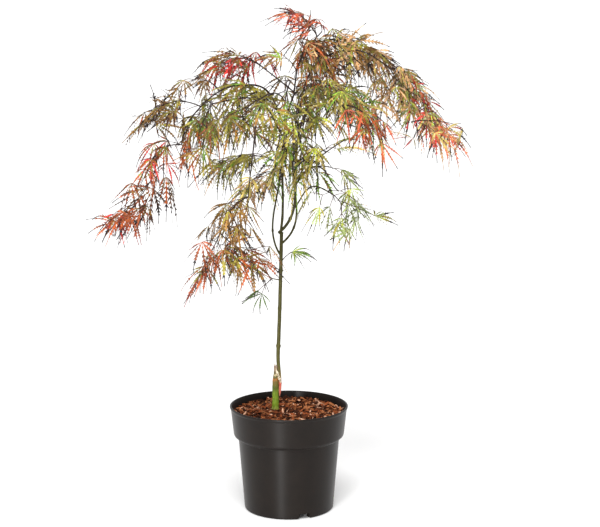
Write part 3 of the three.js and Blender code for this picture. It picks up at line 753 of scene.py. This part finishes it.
def bed_height(x, y):
    """Height of the mulch bed: a low mound with small hollows, from sums of waves."""
    reach = np.hypot(x, y) / BED_RADIUS
    mound = 159.5 - 3.0 * reach**2
    broad = 1.1 * np.sin(x * 150 + 1) * np.cos(y * 130)
    waves = broad + 0.8 * np.sin(x * 310 - y * 260) + 0.6 * np.cos(x * 520 + y * 480)
    return (mound + waves) * MM


def mulch_bed():
    """The soil and a closed bed under the chips: the pot's inside, turned about Z, with an uneven
    top."""
    outline = rounded([
        (0, 2.8), (42.2, 2.8), (44.6, 11.8), (70.5, 11.8), (78.8, 117.5), (86.8, 124.6),
        (90.2, 154), (89.4, 156.5), (0, 159.5),
    ], 1.0)[:-1]
    crown = np.stack([np.linspace(88, 0, 24), np.full(24, 158.0)], 1)
    profile = np.concatenate([outline, crown]) * MM
    angles = np.linspace(0, 2 * np.pi, 120, endpoint=False)

    def settle(radius, height, angle):
        """Lays the top just under the bed's uneven height."""
        top = bed_height(radius * np.cos(angle), radius * np.sin(angle))
        return radius, np.where(height > 156 * MM, top - 1.2 * MM, height)

    points, faces = revolved(profile, angles, settle)
    piece = build("mulch_bed", points, faces, chipped_bark("composted_bark", linear("#2a160c"), 0.4))
    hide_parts("soil")


def chip_bodies(sizes, rng):
    """Chips of bark: each is a flat prism of six sides with a low point on both faces, longer than
    wide, its corners moved by chance, laid at a chance place, heading and tilt on the bed."""
    count = sizes.chips
    angle = np.linspace(0, 2 * np.pi, CHIP_SIDES, endpoint=False)
    ring = np.stack([np.cos(angle), np.sin(angle)], 1)
    lower, upper = (np.c_[ring, np.full(CHIP_SIDES, level)] for level in (-0.5, 0.5))
    base = np.concatenate([lower, upper, [[0, 0, 0.6], [0, 0, -0.6]]])
    longest = sizes.chip_length * rng.lognormal(0, 0.38, count)
    width = longest * rng.uniform(0.14, 0.45, count)
    depth = np.clip(longest * rng.uniform(0.1, 0.25, count), 0.0008, 0.0026)
    body = base[None] * (1 + 0.22 * rng.standard_normal((count, len(base), 3)))
    body = body * np.stack([longest / 2, width / 2, depth], 1)[:, None]
    turn, tilt = rng.uniform(0, 2 * np.pi, count), rng.normal(0, 0.36, count)
    roll = rng.normal(0, 0.5, count)
    body = turned(turned(turned(body, 0, roll), 1, tilt), 2, turn)
    reach = np.minimum(np.sqrt(rng.random(count)) * BED_RADIUS, 0.0897 - longest * 0.42)
    heading = rng.uniform(0, 2 * np.pi, count)
    x, y = reach * np.cos(heading), reach * np.sin(heading)
    layer = rng.uniform(-0.4, 3.4, count) * MM
    return body + np.stack([x, y, bed_height(x, y) + layer], 1)[:, None]


def chip_faces():
    """The sides of one chip as quads, and its upper and lower faces as triangles to their points."""
    here = np.arange(CHIP_SIDES)
    following = (here + 1) % CHIP_SIDES
    above, beside = here + CHIP_SIDES, following + CHIP_SIDES
    top = np.full(CHIP_SIDES, 2 * CHIP_SIDES)
    lid, floor = np.stack([top, above, beside], 1), np.stack([top + 1, following, here], 1)
    return np.stack([here, following, beside, above], 1), np.concatenate([lid, floor])


def bark_chips(sizes, colours):
    """The chips, dealt out by chance into one piece for each tone."""
    rng = np.random.default_rng(sizes.seed + 5)
    body = chip_bodies(sizes, rng)
    chip = tuple(colours.chip)
    tones = {
        "chips_dark": (0.27, shade(chip, 0.16)), "chips_brown": (0.24, shade(chip, 0.5)),
        "chips_rust": (0.2, chip), "chips_tan": (0.18, linear("#a5673f")),
        "chips_pale": (0.11, linear("#d6a688")),
    }
    share = rng.choice(len(tones), len(body), p=[part for part, _ in tones.values()])
    for index, (name, (_, rgb)) in enumerate(tones.items()):
        chosen = body[share == index]
        faces = [copies(part, body.shape[1], len(chosen)) for part in chip_faces()]
        bark = chipped_bark(f"pine_{name}", rgb, 0.35)
        piece = build(name, chosen.reshape(-1, 3), faces, bark, smooth=False)


def turned(points, axis, angle):
    """Bodies turned about one coordinate axis, each by its own angle."""
    first, second = [(1, 2), (2, 0), (0, 1)][axis]
    c, s = np.cos(angle)[:, None], np.sin(angle)[:, None]
    out = points.copy()
    out[..., first] = points[..., first] * c - points[..., second] * s
    out[..., second] = points[..., first] * s + points[..., second] * c
    return out


# ---------------------------------------------------------------- trunk and boughs


def stem_relief(lines, sides, rng, every, ridge):
    """Swelling of a stem's ring points: shallow ridges that wander round it, rings at its nodes
    and a bud on two opposite sides of each. every is the distance between nodes in metres, and
    ridge the height of the ridges as a share of the stem's radius."""
    count = len(lines)
    steps = np.linalg.norm(np.diff(lines, axis=1), axis=2)
    travelled = np.concatenate([np.zeros((count, 1)), np.cumsum(steps, 1)], 1)[..., None]
    angle = np.linspace(0, 2 * np.pi, sides, endpoint=False)[None, None]
    phase = rng.uniform(0, 2 * np.pi, (4, count, 1, 1))
    ridges = ridge * (
        np.sin(3 * angle + 90 * travelled + phase[0]) * np.sin(140 * travelled + phase[1])
        + 0.6 * np.sin(5 * angle - 210 * travelled + phase[2])
    )
    cycle = travelled / every + phase[3] / (2 * np.pi)
    near = np.exp(-(((cycle % 1) - 0.5) * every / 0.0016) ** 2)
    bud_side = (np.floor(cycle) % 2) * np.pi / 2
    bud = np.maximum(np.cos(2 * (angle - bud_side)), 0) ** 2
    return 1 + ridges + near * (0.16 + 0.3 * bud)


def rootstock_body(colours, rng):
    """The rootstock: a flared round body that narrows at its shoulder to its cut-off end, whose top
    is cut by a sloping plane."""
    heights, radii = np.array(ROOTSTOCK).T
    level = np.linspace(heights[0], heights[-1], 110)
    east, north = -22 + 0.8 * np.clip(level / 70, 0, 1), 8 - 1.6 * np.clip(level / 75, 0, 1)
    line = np.stack([east, north, GROUND + level], 1)[None] * MM
    girth = np.interp(level, heights, radii)[None] * MM
    sides = 28
    angle = np.linspace(0, 2 * np.pi, sides, endpoint=False)
    wrinkle = 0.02 * np.sin(level / 1.9 + np.sin(level / 7))[None, :, None] * (1 + np.cos(2 * angle))
    flare = 0.12 * np.exp(-np.maximum(level, 0) / 5)[None, :, None] * np.cos(5 * angle + 1)
    swell = stem_relief(line, sides, rng, every=0.5, ridge=0.022) + wrinkle + flare
    points, faces = tubes(line, girth, sides, swell)
    cut = (GROUND + 76.5) * MM - 0.35 * (points[:, 0] + 21.2 * MM)
    points[:, 2] = np.minimum(points[:, 2], cut)
    green = tuple(colours.rootstock)
    bark = living_bark("maple_rootstock_bark", [
        (160, linear("#8f8f45")), (166, green), (188, shade(green, 0.9)), (198, linear("#4f5a1e")),
        (207, linear("#6b5a2c")), (212, linear("#96602f")), (215, linear("#4a4c22")),
        (219, linear("#bfae88")), (222, linear("#55502c")), (228, linear("#8d7763")),
        (233, linear("#5d4541")), (236, linear("#dccdb8")),
    ])
    rootstock = build("rootstock", points, faces, bark)


def scion_body(colours, rng):
    """The scion: a thin round body. Its heel lies on the rootstock's right flank, and above the
    graft it joins the trunk's line by a smooth step."""
    heights, radii = np.array(SCION).T
    level = np.concatenate([np.linspace(heights[0], 100, 50), np.linspace(100, heights[-1], 90)[1:]])
    line = trunk_line(level / (FORK - GROUND))
    t = np.clip((97 - level) / 60, 0, 1)
    line[:, 0] += 5.8 * MM * t**2 * (3 - 2 * t)
    line[:, 1] -= 1.0 * MM * t
    line[-1] += 1.5 * MM * UP
    girth = np.interp(level, heights, radii)[None] * MM
    sides = 20
    swell = stem_relief(line[None], sides, rng, every=0.062, ridge=0.025)
    points, faces = tubes(line[None], girth, sides, swell)
    olive = tuple(colours.scion)
    bark = living_bark("maple_scion_bark", [
        (180, linear("#c0836a")), (190, linear("#c56a5b")), (206, linear("#b25a48")),
        (214, linear("#8f7a50")), (222, linear("#6d6038")), (232, shade(olive, 0.8)),
        (300, shade(olive, 0.6)), (450, shade(olive, 0.5)),
    ], 0.5)
    scion = build("scion", points, faces, bark)
    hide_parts("trunk")


def wax_strip():
    """The wax: a lumpy strip that runs down across the graft."""
    path = MM * np.array([
        (-21.0, 3.7, 231), (-19.6, 3.2, 226), (-18.0, 2.9, 220), (-15.6, 3.4, 214),
        (-13.8, 4.6, 209), (-12.9, 5.4, 205),
    ])
    s = np.linspace(0, 1, 40)
    line = along_line(path, s)[None]
    girth = (0.5 + 1.5 * np.sin(np.pi * s) ** 0.6)[None] * MM
    sides = 14
    angle = np.linspace(0, 2 * np.pi, sides, endpoint=False)
    lumps = 1 + 0.22 * np.sin(17 * s + 2)[None, :, None]
    lumps = lumps + 0.18 * np.sin(29 * s[None, :, None] + 3 * angle)
    points, faces = tubes(line, girth, sides, lumps)
    wax = build("graft_wax", points, faces, grafting_wax())


def grafted_trunk(colours):
    """The trunk in three pieces, from the ground to the fork."""
    rng = np.random.default_rng(3)
    rootstock_body(colours, rng)
    scion_body(colours, rng)
    wax_strip()


def bough_bark(colours):
    """The boughs: round bodies on the limbs' middle lines, a tenth thicker than the limbs, started
    a little inside what they grow from, with nodes and buds."""
    rng = np.random.default_rng(4)
    boughs, _ = skeleton()
    share = np.linspace(0, 1, 72)
    lines, girths = [], []
    for name in PARENTS:
        line, girth = boughs[name]
        fine = along_line(line, share)
        fine[0] -= 1.6 * MM * unit(fine[1] - fine[0])
        lines.append(fine)
        girths.append(np.interp(share, np.linspace(0, 1, len(girth)), girth) * 1.1)
    lines, girths = np.array(lines), np.array(girths)
    sides = 12
    relief = stem_relief(lines, sides, rng, every=0.036, ridge=0.04)
    points, faces = tubes(lines, girths, sides, relief)
    olive, dark = tuple(colours.scion), tuple(colours.bough)
    bark = living_bark("maple_shoot_bark", [
        (430, shade(olive, 0.45)), (520, shade(olive, 0.3)), (600, shade(dark, 1.5)), (680, dark),
        (790, shade(dark, 1.3)),
    ], 0.5)
    piece = build("bough_bark", points, faces, bark)
    names = [f"limb_{name}" for name in PARENTS]
    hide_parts(*names)


# ---------------------------------------------------------------- twigs and leaves


def grow_crown(sizes):
    """The branching rule, with chances of its own for each spray. In each a twig follows the mass's
    line and stops where its last leaves fill the rest, with pairs of leaves on it. Side twigs, as
    many as the spray's fill asks for, leave it for places that keep clear of each other inside the
    mass; each ends in a pair of leaves, and a long one has a pair halfway. Returns the twigs' lines
    and girths, and the leaves' stalk lines, axes, upper sides, lengths, droops, turns of colour and
    places in them."""
    _, masses = skeleton()
    twigs, groups = [], []
    for index, (name, spray) in enumerate(SPRAYS.items()):
        rng = np.random.default_rng([sizes.seed, index])
        mass = masses[name]
        span = np.linalg.norm(np.diff(mass["line"], axis=0), axis=1).sum()
        leaf = sizes.leaf_length * min(max(span / 0.12, 0.75), 1.0)
        reach = max(0.35 * span, span - 0.9 * leaf)
        main = along_line(mass["line"], np.linspace(0, reach / span, 24))
        twigs.append((main, sizes.twig_girth))
        number = int(round(1.3 * span * spray.fill / sizes.node_spacing))
        stalks = stalk_pair(main, 1.0, reach / span, sizes, rng)
        for share in np.linspace(0, 1, number // 3 + 1, endpoint=False)[1:]:
            stalks += stalk_pair(main, share, share * reach / span, sizes, rng)
        for share, target in clear_places(mass, number, reach / span, leaf, rng):
            leave = max(share * span / reach - rng.uniform(0.15, 0.4), 0.0)
            start, heading = along_line(main, min(leave, 0.95)), line_heading(main, min(leave, 0.95))
            side = side_twig(start, heading, target)
            twigs.append((side, sizes.twig_girth * 0.6))
            stalks += stalk_pair(side, 1.0, share, sizes, rng)
            if np.linalg.norm(target - start) > 1.5 * sizes.node_spacing:
                stalks += stalk_pair(side, 0.55, share, sizes, rng)
        groups.append(settle_leaves(stalks, mass, spray.turn, leaf, sizes.droop, rng))
    return twigs, [np.concatenate(parts) for parts in zip(*groups)]


def clear_places(mass, number, furthest, leaf, rng):
    """Places for the ends of side twigs, with their shares of the spray: each is the one of many
    chance places in the mass that keeps furthest from those before it. They stay high enough, and
    near enough to the foot, for the leaves to fill what is below and beyond."""
    tries = 400
    share = rng.uniform(0.08, min(furthest + 0.1, 0.95), tries)
    low, high, left, right = (np.interp(share, mass["at"], row) for row in mass["reach"])
    drop = np.minimum(0.5 * leaf, 0.6 * (high - low))
    up = low + drop + (0.95 * (high - low) - drop) * rng.random(tries)
    side = left + (right - left) * rng.uniform(0.15, 0.85, tries)
    points = mass["foot"] + np.stack([share * mass["span"], up, side], 1) @ mass["frame"]
    apart = np.full(tries, 1.0)
    chosen = []
    for _ in range(number):
        best = int(apart.argmax())
        chosen.append((share[best], points[best]))
        apart = np.minimum(apart, np.linalg.norm(points - points[best], axis=1))
    return chosen


def line_heading(line, share):
    """The direction of a line at a share of its length."""
    ahead, back = along_line(line, min(share + 0.04, 1)), along_line(line, max(share - 0.04, 0))
    return unit(ahead - back)


def side_twig(start, heading, target):
    """A side twig: a quadratic curve that leaves its carrier forwards and upwards and bends over to
    its end."""
    s = np.linspace(0, 1, 24)[:, None]
    far = np.linalg.norm(target - start)
    bend = start + 0.5 * far * unit(0.8 * heading + 0.5 * UP + unit(target - start))
    return (1 - s) ** 2 * start + 2 * s * (1 - s) * bend + s**2 * target


def stalk_pair(line, share, along, sizes, rng):
    """The stalks of two leaves on opposite sides of a twig, with the twig's heading and the share
    of the spray where they stand: each leaves sideways and forwards, and sinks a little."""
    at, heading = along_line(line, share), line_heading(line, share)
    across = unit(np.cross(heading, UP))
    twist = rng.normal(0, 0.5)
    forward = 0.5 if share < 0.99 else 1.3
    s = np.linspace(0, 1, 8)[:, None]
    pair = []
    for hand in (-1, 1):
        sideways = hand * (across * math.cos(twist) + UP * math.sin(twist) * 0.8)
        go = unit(forward * heading + sideways + UP * rng.uniform(-0.1, 0.5) + 0.15 * rng.standard_normal(3))
        stalk = sizes.stalk_length * rng.uniform(0.5, 1.1)
        path = at + go * stalk * s - UP * (0.25 * stalk) * s**2
        pair.append((path, unit(go * [1, 1, 0]), heading, along))
    return pair


def settle_leaves(stalks, mass, turn, leaf, droop, rng):
    """Each leaf is given several chances of an axis between its stalk's heading, the twig's heading
    and straight down, of an upper side that faces up and outwards, of a length and of a droop. It
    keeps the one whose lobes stay nearest to the mass. The turn of colour is picked by how far
    along the spray the leaf stands."""
    paths = np.array([stalk[0] for stalk in stalks])
    flat = np.array([stalk[1] for stalk in stalks])[:, None]
    heading = np.array([stalk[2] for stalk in stalks])[:, None]
    count, chances = len(stalks), 24

    def draw(low, high):
        return rng.uniform(low, high, (count, chances, 1))

    axis = unit(
        draw(0.2, 0.9) * flat + draw(0.1, 0.9) * heading - draw(-0.3, 1.0) * UP
        + 0.25 * rng.standard_normal((count, chances, 3))
    )
    face = unit(0.3 * flat + 0.5 * UP + 0.8 * rng.standard_normal((count, chances, 3)))
    face = unit(face - (face * axis).sum(-1, keepdims=True) * axis)
    size, hang = leaf * draw(0.6, 1.1), droop * draw(0.4, 1.4)
    fan = np.radians([-58, -28, 0, 28, 58])[:, None]
    first = np.cos(fan) * axis[:, :, None] + np.sin(fan) * np.cross(face, axis)[:, :, None]
    hub = paths[:, None, -1:]
    near = hub + 0.5 * size[..., None] * unit(first - 0.15 * hang[..., None] * UP)
    far = hub + size[..., None] * unit(first - 0.45 * hang[..., None] * UP)
    miss = beyond(np.concatenate([near, far], 2), mass)
    miss = miss.mean(-1) + 0.5 * miss.max(-1)
    best = (miss - 0.2 * size[..., 0]).argmin(1)
    pick = np.arange(count)
    places = np.array([stalk[3] for stalk in stalks]) * 0.85 + rng.uniform(-0.2, 0.35, count)
    number = len(TURNS[turn])
    kind = np.clip((places * number).astype(int), 0, number - 1)
    return (
        paths, axis[pick, best], face[pick, best], size[pick, best], hang[pick, best],
        np.full(count, list(TURNS).index(turn)), kind,
    )


def leaf_blades(leaves, sizes):
    """The blades. A lobe's middle line starts in the leaf's plane at its own angle and turns
    downwards with its length. A narrow strip follows it, hair-thin at its base and end. From each
    step of the strip a forward-pointing tooth stands on either side: its root, a point ahead of the
    root, its own point and a shoulder on its back. The teeth grow, stay and shrink along the lobe,
    and none stand on its thin base and end. Returns the points of each lobe and which steps have
    teeth."""
    paths, axis, face, size, hang, _, _ = leaves
    rng = np.random.default_rng(sizes.seed + 1)
    count, lobes = len(paths), len(LOBE_ANGLES)
    hub, axis, face = paths[:, -1, None, None], axis[:, None], face[:, None]
    width = rng.uniform(0.75, 1.2, (count, 1, 1, 1))
    across = np.cross(face, axis)
    spread = rng.uniform(0.75, 1.1, (count, 1))
    angle = (LOBE_ANGLES * spread + rng.normal(0, 0.08, (count, lobes)))[..., None]
    first = unit(np.cos(angle) * axis + np.sin(angle) * across - 0.1 * np.sin(angle) ** 2 * face)
    reach = (size * LOBE_LENGTHS * rng.uniform(0.85, 1.12, (count, lobes)))[..., None, None]
    s = np.linspace(0, 1, LOBE_STEPS + 1)[:, None]
    fall = (hang * rng.uniform(0.8, 1.2, (count, lobes)))[..., None, None]
    curl = rng.normal(0, 0.28, (count, lobes, 1, 3))
    ahead = unit(first[:, :, None] - fall * s**1.3 * UP + curl * s**2)
    steps = (ahead[:, :, :-1] + ahead[:, :, 1:]) / 2 * reach / LOBE_STEPS
    spine = hub + np.concatenate([np.zeros((count, lobes, 1, 3)), np.cumsum(steps, 2)], 2)
    normal = unit(face[:, :, None] - (face[:, :, None] * ahead).sum(-1, keepdims=True) * ahead)
    normal = unit(normal + 0.5 * rng.standard_normal((count, lobes, 1, 3)))
    side = unit(np.cross(normal, ahead))
    swell = np.sin(np.pi * np.clip((s - 0.08) / 0.7, 0, 1)) ** 0.8
    half = (0.3 + 0.3 * s + 0.82 * swell * width) * MM
    left, right = spine + side * half, spine - side * half
    k = s[:-1]
    grow = np.sin(np.pi * np.clip((k - 0.05) / 0.72, 0, 1)) ** 0.6
    scale = (size / sizes.leaf_length)[..., None, None] * LOBE_LENGTHS[None, :, None, None] ** 0.6
    tooth = sizes.tooth_length * width * scale * grow * rng.uniform(0.75, 1.2, (count, lobes, LOBE_STEPS, 1))
    forward, flank, upper = ahead[:, :, :-1], side[:, :, :-1], normal[:, :, :-1]
    root, edge = spine[:, :, :-1], spine[:, :, 1:] - spine[:, :, :-1]
    lean = 0.66 - 0.26 * k
    teeth = []
    for hand in (1, -1):
        tip = rng.normal(-0.1, 0.38, (count, lobes, LOBE_STEPS, 1))
        out = hand * np.cos(tip) * flank + np.sin(tip) * upper
        way = forward * np.cos(lean) + out * np.sin(lean)
        back = forward * np.cos(lean + 0.16) + out * np.sin(lean + 0.16)
        teeth += [root, root + 0.55 * edge, root + tooth * way, root + 0.5 * tooth * back]
    points = np.concatenate([left, right, *teeth], axis=2)
    return points, (grow > 0.1)[:, 0]


def lobe_faces(toothed):
    """The triangles of one lobe, how far along it each one is, and whether it edges a tooth's back:
    two for each step of the strip and two for each tooth."""
    k = np.arange(LOBE_STEPS)
    stations = LOBE_STEPS + 1
    faces = [np.stack([k, k + stations, k + stations + 1], 1), np.stack([k, k + stations + 1, k + 1], 1)]
    place, edging = [k, k], [k < 0, k < 0]
    k = k[toothed]
    for hand in (0, 1):
        first = 2 * stations + hand * TOOTH_POINTS * LOBE_STEPS
        root, ahead, point, back = (first + part * LOBE_STEPS + k for part in range(TOOTH_POINTS))
        for corners in ((root, ahead, point), (root, point, back)):
            faces.append(np.stack(corners[::-1] if hand else corners, 1))
            place.append(k)
            edging.append(np.full(len(k), corners[2] is back))
    return np.concatenate(faces), (np.concatenate(place) + 0.5) / LOBE_STEPS, np.concatenate(edging)


def lobe_tints(turn, kind, place, edging, lobes, rng):
    """The tint of each triangle of each lobe, as its number in TINTS. A lobe takes the three tints
    of its leaf's place in its turn of colour, or, by chance, those of the place before or after:
    the first at its base, the second along it, and the third on its thin end. More than half of the
    lobes have the third on the backs of their teeth too."""
    names, turns = list(TINTS), list(TURNS.values())
    most = max(len(places) for places in turns)
    table = np.array([
        [[names.index(tint) for tint in places[min(k, len(places) - 1)]] for k in range(most)]
        for places in turns
    ])
    count = len(turn)
    number = np.array([len(places) for places in turns])[turn]
    change = (rng.random((count, lobes)) < 0.55) * rng.choice([-1, 1], (count, lobes))
    tints = table[turn, np.clip(kind + change, 0, number - 1)]
    middle = rng.uniform(0.15, 0.45, (count, lobes, 1))
    thin = rng.uniform(0.5, 1.0, (count, lobes, 1))
    edged = edging & (rng.random((count, lobes, 1)) < 0.6)
    zone = np.where(edged | (place > thin), 2, (place > middle).astype(int))
    return np.take_along_axis(tints, zone, 2)


def foliage(sizes):
    """The leaves, dealt out into one piece for each tint. A leaf that reaches too far out of the
    frame's box is left out. A piece stands for the masses whose turn has its tint in the middle."""
    _, leaves = grow_crown(sizes)
    points, toothed = leaf_blades(leaves, sizes)
    lowest, highest = np.array(CAD_BOX)
    spare = 0.025 * (highest - lowest) + 0.008
    inside = ((points > lowest - spare) & (points < highest + spare)).all(axis=(1, 2, 3))
    faces, place, edging = lobe_faces(toothed)
    count, lobes, each = points.shape[:3]
    rng = np.random.default_rng(sizes.seed + 2)
    tint = lobe_tints(leaves[5][:, None], leaves[6][:, None], place, edging, lobes, rng)
    tint = np.where(inside[:, None, None], tint, -1)
    all_faces = faces + (np.arange(count * lobes) * each).reshape(count, lobes, 1, 1)
    flat = points.reshape(-1, 3)
    groups = {name: [] for name in TINTS}
    for mass, spray in SPRAYS.items():
        places = TURNS[spray.turn]
        groups[places[len(places) // 2][1]].append(f"leaves_{mass}")
    for index, (name, code) in enumerate(TINTS.items()):
        chosen = all_faces[tint == index]
        if not len(chosen):
            continue
        used, packed = np.unique(chosen, return_inverse=True)
        blade = leaf_blade(f"leaf_{name}", linear(code))
        piece = build(f"leaves_{name}", flat[used], [packed.reshape(-1, 3)], blade, smooth=False)
        if groups[name]:
            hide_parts(*groups[name])


def twigs_and_stalks(sizes, colours):
    """The twigs and the leaf stalks, each kind as one piece of thin round bodies."""
    rng = np.random.default_rng(sizes.seed + 3)
    twigs, leaves = grow_crown(sizes)
    lines = np.array([twig[0] for twig in twigs])
    taper = np.linspace(1, 0.55, lines.shape[1])[None]
    radii = np.array([twig[1] for twig in twigs])[:, None] / 2 * taper
    sides = 7
    relief = stem_relief(lines, sides, rng, every=0.03, ridge=0.03)
    points, faces = tubes(lines, radii, sides, relief)
    dark = tuple(colours.bough)
    bark = living_bark("maple_twig_bark", [(300, dark), (800, shade(dark, 1.4))], 0.5)
    piece = build("twigs", points, faces, bark)
    paths = leaves[0]
    girth = 0.6 * MM * np.linspace(1.0, 0.75, paths.shape[1])[None] * np.ones((len(paths), 1))
    sides = 5
    points, faces = tubes(paths, girth, sides)
    stalk = living_bark("leaf_stalk_skin", [(300, linear("#3f241b")), (800, linear("#4a2f20"))], 0.45)
    piece = build("leaf_stalks", points, faces, stalk)


# ---------------------------------------------------------------- stage


def studio():
    """A wide pale floor, a white sky, a broad key light high in front, whose shadow falls behind the
    pot, a strip at the front left for the pot's sheen, and the camera."""
    scene = bpy.context.scene
    scene.view_settings.view_transform = "Standard"
    material, _, shader = new_material("pale_floor")
    shader.inputs["Base Color"].default_value = (0.96, 0.96, 0.96, 1)
    shader.inputs["Roughness"].default_value = 0.9
    shader.inputs["Specular IOR Level"].default_value = 0.1
    mesh = bpy.data.meshes.new("floor")
    half = 400.0
    corners = [(-half, -half, 0), (half, -half, 0), (half, half, 0), (-half, half, 0)]
    mesh.from_pydata(corners, [], [(0, 1, 2, 3)])
    mesh.materials.append(material)
    floor = bpy.data.objects.new("floor", mesh)
    scene.collection.objects.link(floor)
    world = bpy.data.worlds.new("white_sky")
    world.use_nodes = True
    world.node_tree.nodes["Background"].inputs["Color"].default_value = (1, 1, 1, 1)
    world.node_tree.nodes["Background"].inputs["Strength"].default_value = 0.78
    scene.world = world
    key = bpy.data.lights.new("key_light", "SUN")
    key.energy = 2.0
    key.angle = math.radians(25)
    strip = bpy.data.lights.new("strip_light", "AREA")
    strip.shape = "RECTANGLE"
    strip.size, strip.size_y = 0.16, 0.5
    strip.energy = 30.0
    for data, place in ((key, (-0.12, -1.8, 2.9)), (strip, (-0.66, -2.0, 0.25))):
        light = bpy.data.objects.new(data.name, data)
        light.location = place
        toward = np.array([0, 0, 0.1]) - np.array(place)
        light.rotation_euler = (
            math.pi / 2 + math.asin(toward[2] / np.linalg.norm(toward)), 0, math.atan2(-toward[0], toward[1]),
        )
        scene.collection.objects.link(light)
    camera = bpy.data.cameras.new("camera")
    camera.lens = 100.56
    camera.sensor_width = 36.0
    camera.clip_end = 2000.0
    holder = bpy.data.objects.new("camera", camera)
    holder.location = (0.018, -2.63, 0.866)
    holder.rotation_euler = (math.radians(80), 0, 0)
    scene.collection.objects.link(holder)
    scene.camera = holder


# ---------------------------------------------------------------- operators, panel and script


class MAPLE_OT_pot(bpy.types.Operator):
    """Build the nursery pot"""

    bl_idname = "maple.pot"
    bl_label = "Nursery pot"

    def execute(self, context):
        nursery_pot(context.scene.maple_colours)
        return {"FINISHED"}


class MAPLE_OT_mulch(bpy.types.Operator):
    """Build the soil and the bark chips on it"""

    bl_idname = "maple.mulch"
    bl_label = "Bark mulch"

    def execute(self, context):
        mulch_bed()
        bark_chips(context.scene.maple_sizes, context.scene.maple_colours)
        return {"FINISHED"}


class MAPLE_OT_trunk(bpy.types.Operator):
    """Build the grafted trunk"""

    bl_idname = "maple.trunk"
    bl_label = "Grafted trunk"

    def execute(self, context):
        grafted_trunk(context.scene.maple_colours)
        return {"FINISHED"}


class MAPLE_OT_boughs(bpy.types.Operator):
    """Build the leaders and boughs"""

    bl_idname = "maple.boughs"
    bl_label = "Leaders and boughs"

    def execute(self, context):
        bough_bark(context.scene.maple_colours)
        return {"FINISHED"}


class MAPLE_OT_twigs(bpy.types.Operator):
    """Grow the twigs and leaf stalks"""

    bl_idname = "maple.twigs"
    bl_label = "Twigs and leaf stalks"

    def execute(self, context):
        twigs_and_stalks(context.scene.maple_sizes, context.scene.maple_colours)
        return {"FINISHED"}


class MAPLE_OT_leaves(bpy.types.Operator):
    """Grow the leaves in their sprays"""

    bl_idname = "maple.leaves"
    bl_label = "Leaves"

    def execute(self, context):
        foliage(context.scene.maple_sizes)
        return {"FINISHED"}


class MAPLE_OT_stage(bpy.types.Operator):
    """Set up the floor, light and camera"""

    bl_idname = "maple.stage"
    bl_label = "Studio"

    def execute(self, context):
        studio()
        return {"FINISHED"}


OPERATORS = (
    MAPLE_OT_pot,
    MAPLE_OT_mulch,
    MAPLE_OT_trunk,
    MAPLE_OT_boughs,
    MAPLE_OT_twigs,
    MAPLE_OT_leaves,
    MAPLE_OT_stage,
)


class MAPLE_PT_panel(bpy.types.Panel):
    """Sizes, colours and build steps of the maple"""

    bl_idname = "MAPLE_PT_panel"
    bl_label = "Weeping maple"
    bl_space_type = "VIEW_3D"
    bl_region_type = "UI"
    bl_category = "Maple"

    def draw(self, context):
        for settings in (context.scene.maple_sizes, context.scene.maple_colours):
            column = self.layout.column(align=True)
            for key in settings.__annotations__:
                column.prop(settings, key)
        for operator in OPERATORS:
            self.layout.operator(operator.bl_idname)


CLASSES = (MapleSizes, MapleColours, *OPERATORS, MAPLE_PT_panel)


def register():
    """Adds the classes and the two groups of settings to Blender."""
    for item in CLASSES:
        bpy.utils.register_class(item)
    bpy.types.Scene.maple_sizes = bpy.props.PointerProperty(type=MapleSizes)
    bpy.types.Scene.maple_colours = bpy.props.PointerProperty(type=MapleColours)


def unregister():
    """Takes the settings and the classes out again."""
    del bpy.types.Scene.maple_colours
    del bpy.types.Scene.maple_sizes
    for item in reversed(CLASSES):
        bpy.utils.unregister_class(item)


def main():
    """Builds every piece and the stage."""
    register()
    bpy.ops.maple.pot()
    bpy.ops.maple.mulch()
    bpy.ops.maple.trunk()
    bpy.ops.maple.boughs()
    bpy.ops.maple.twigs()
    bpy.ops.maple.leaves()
    bpy.ops.maple.stage()
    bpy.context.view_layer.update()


if __name__ == "__main__":
    main()
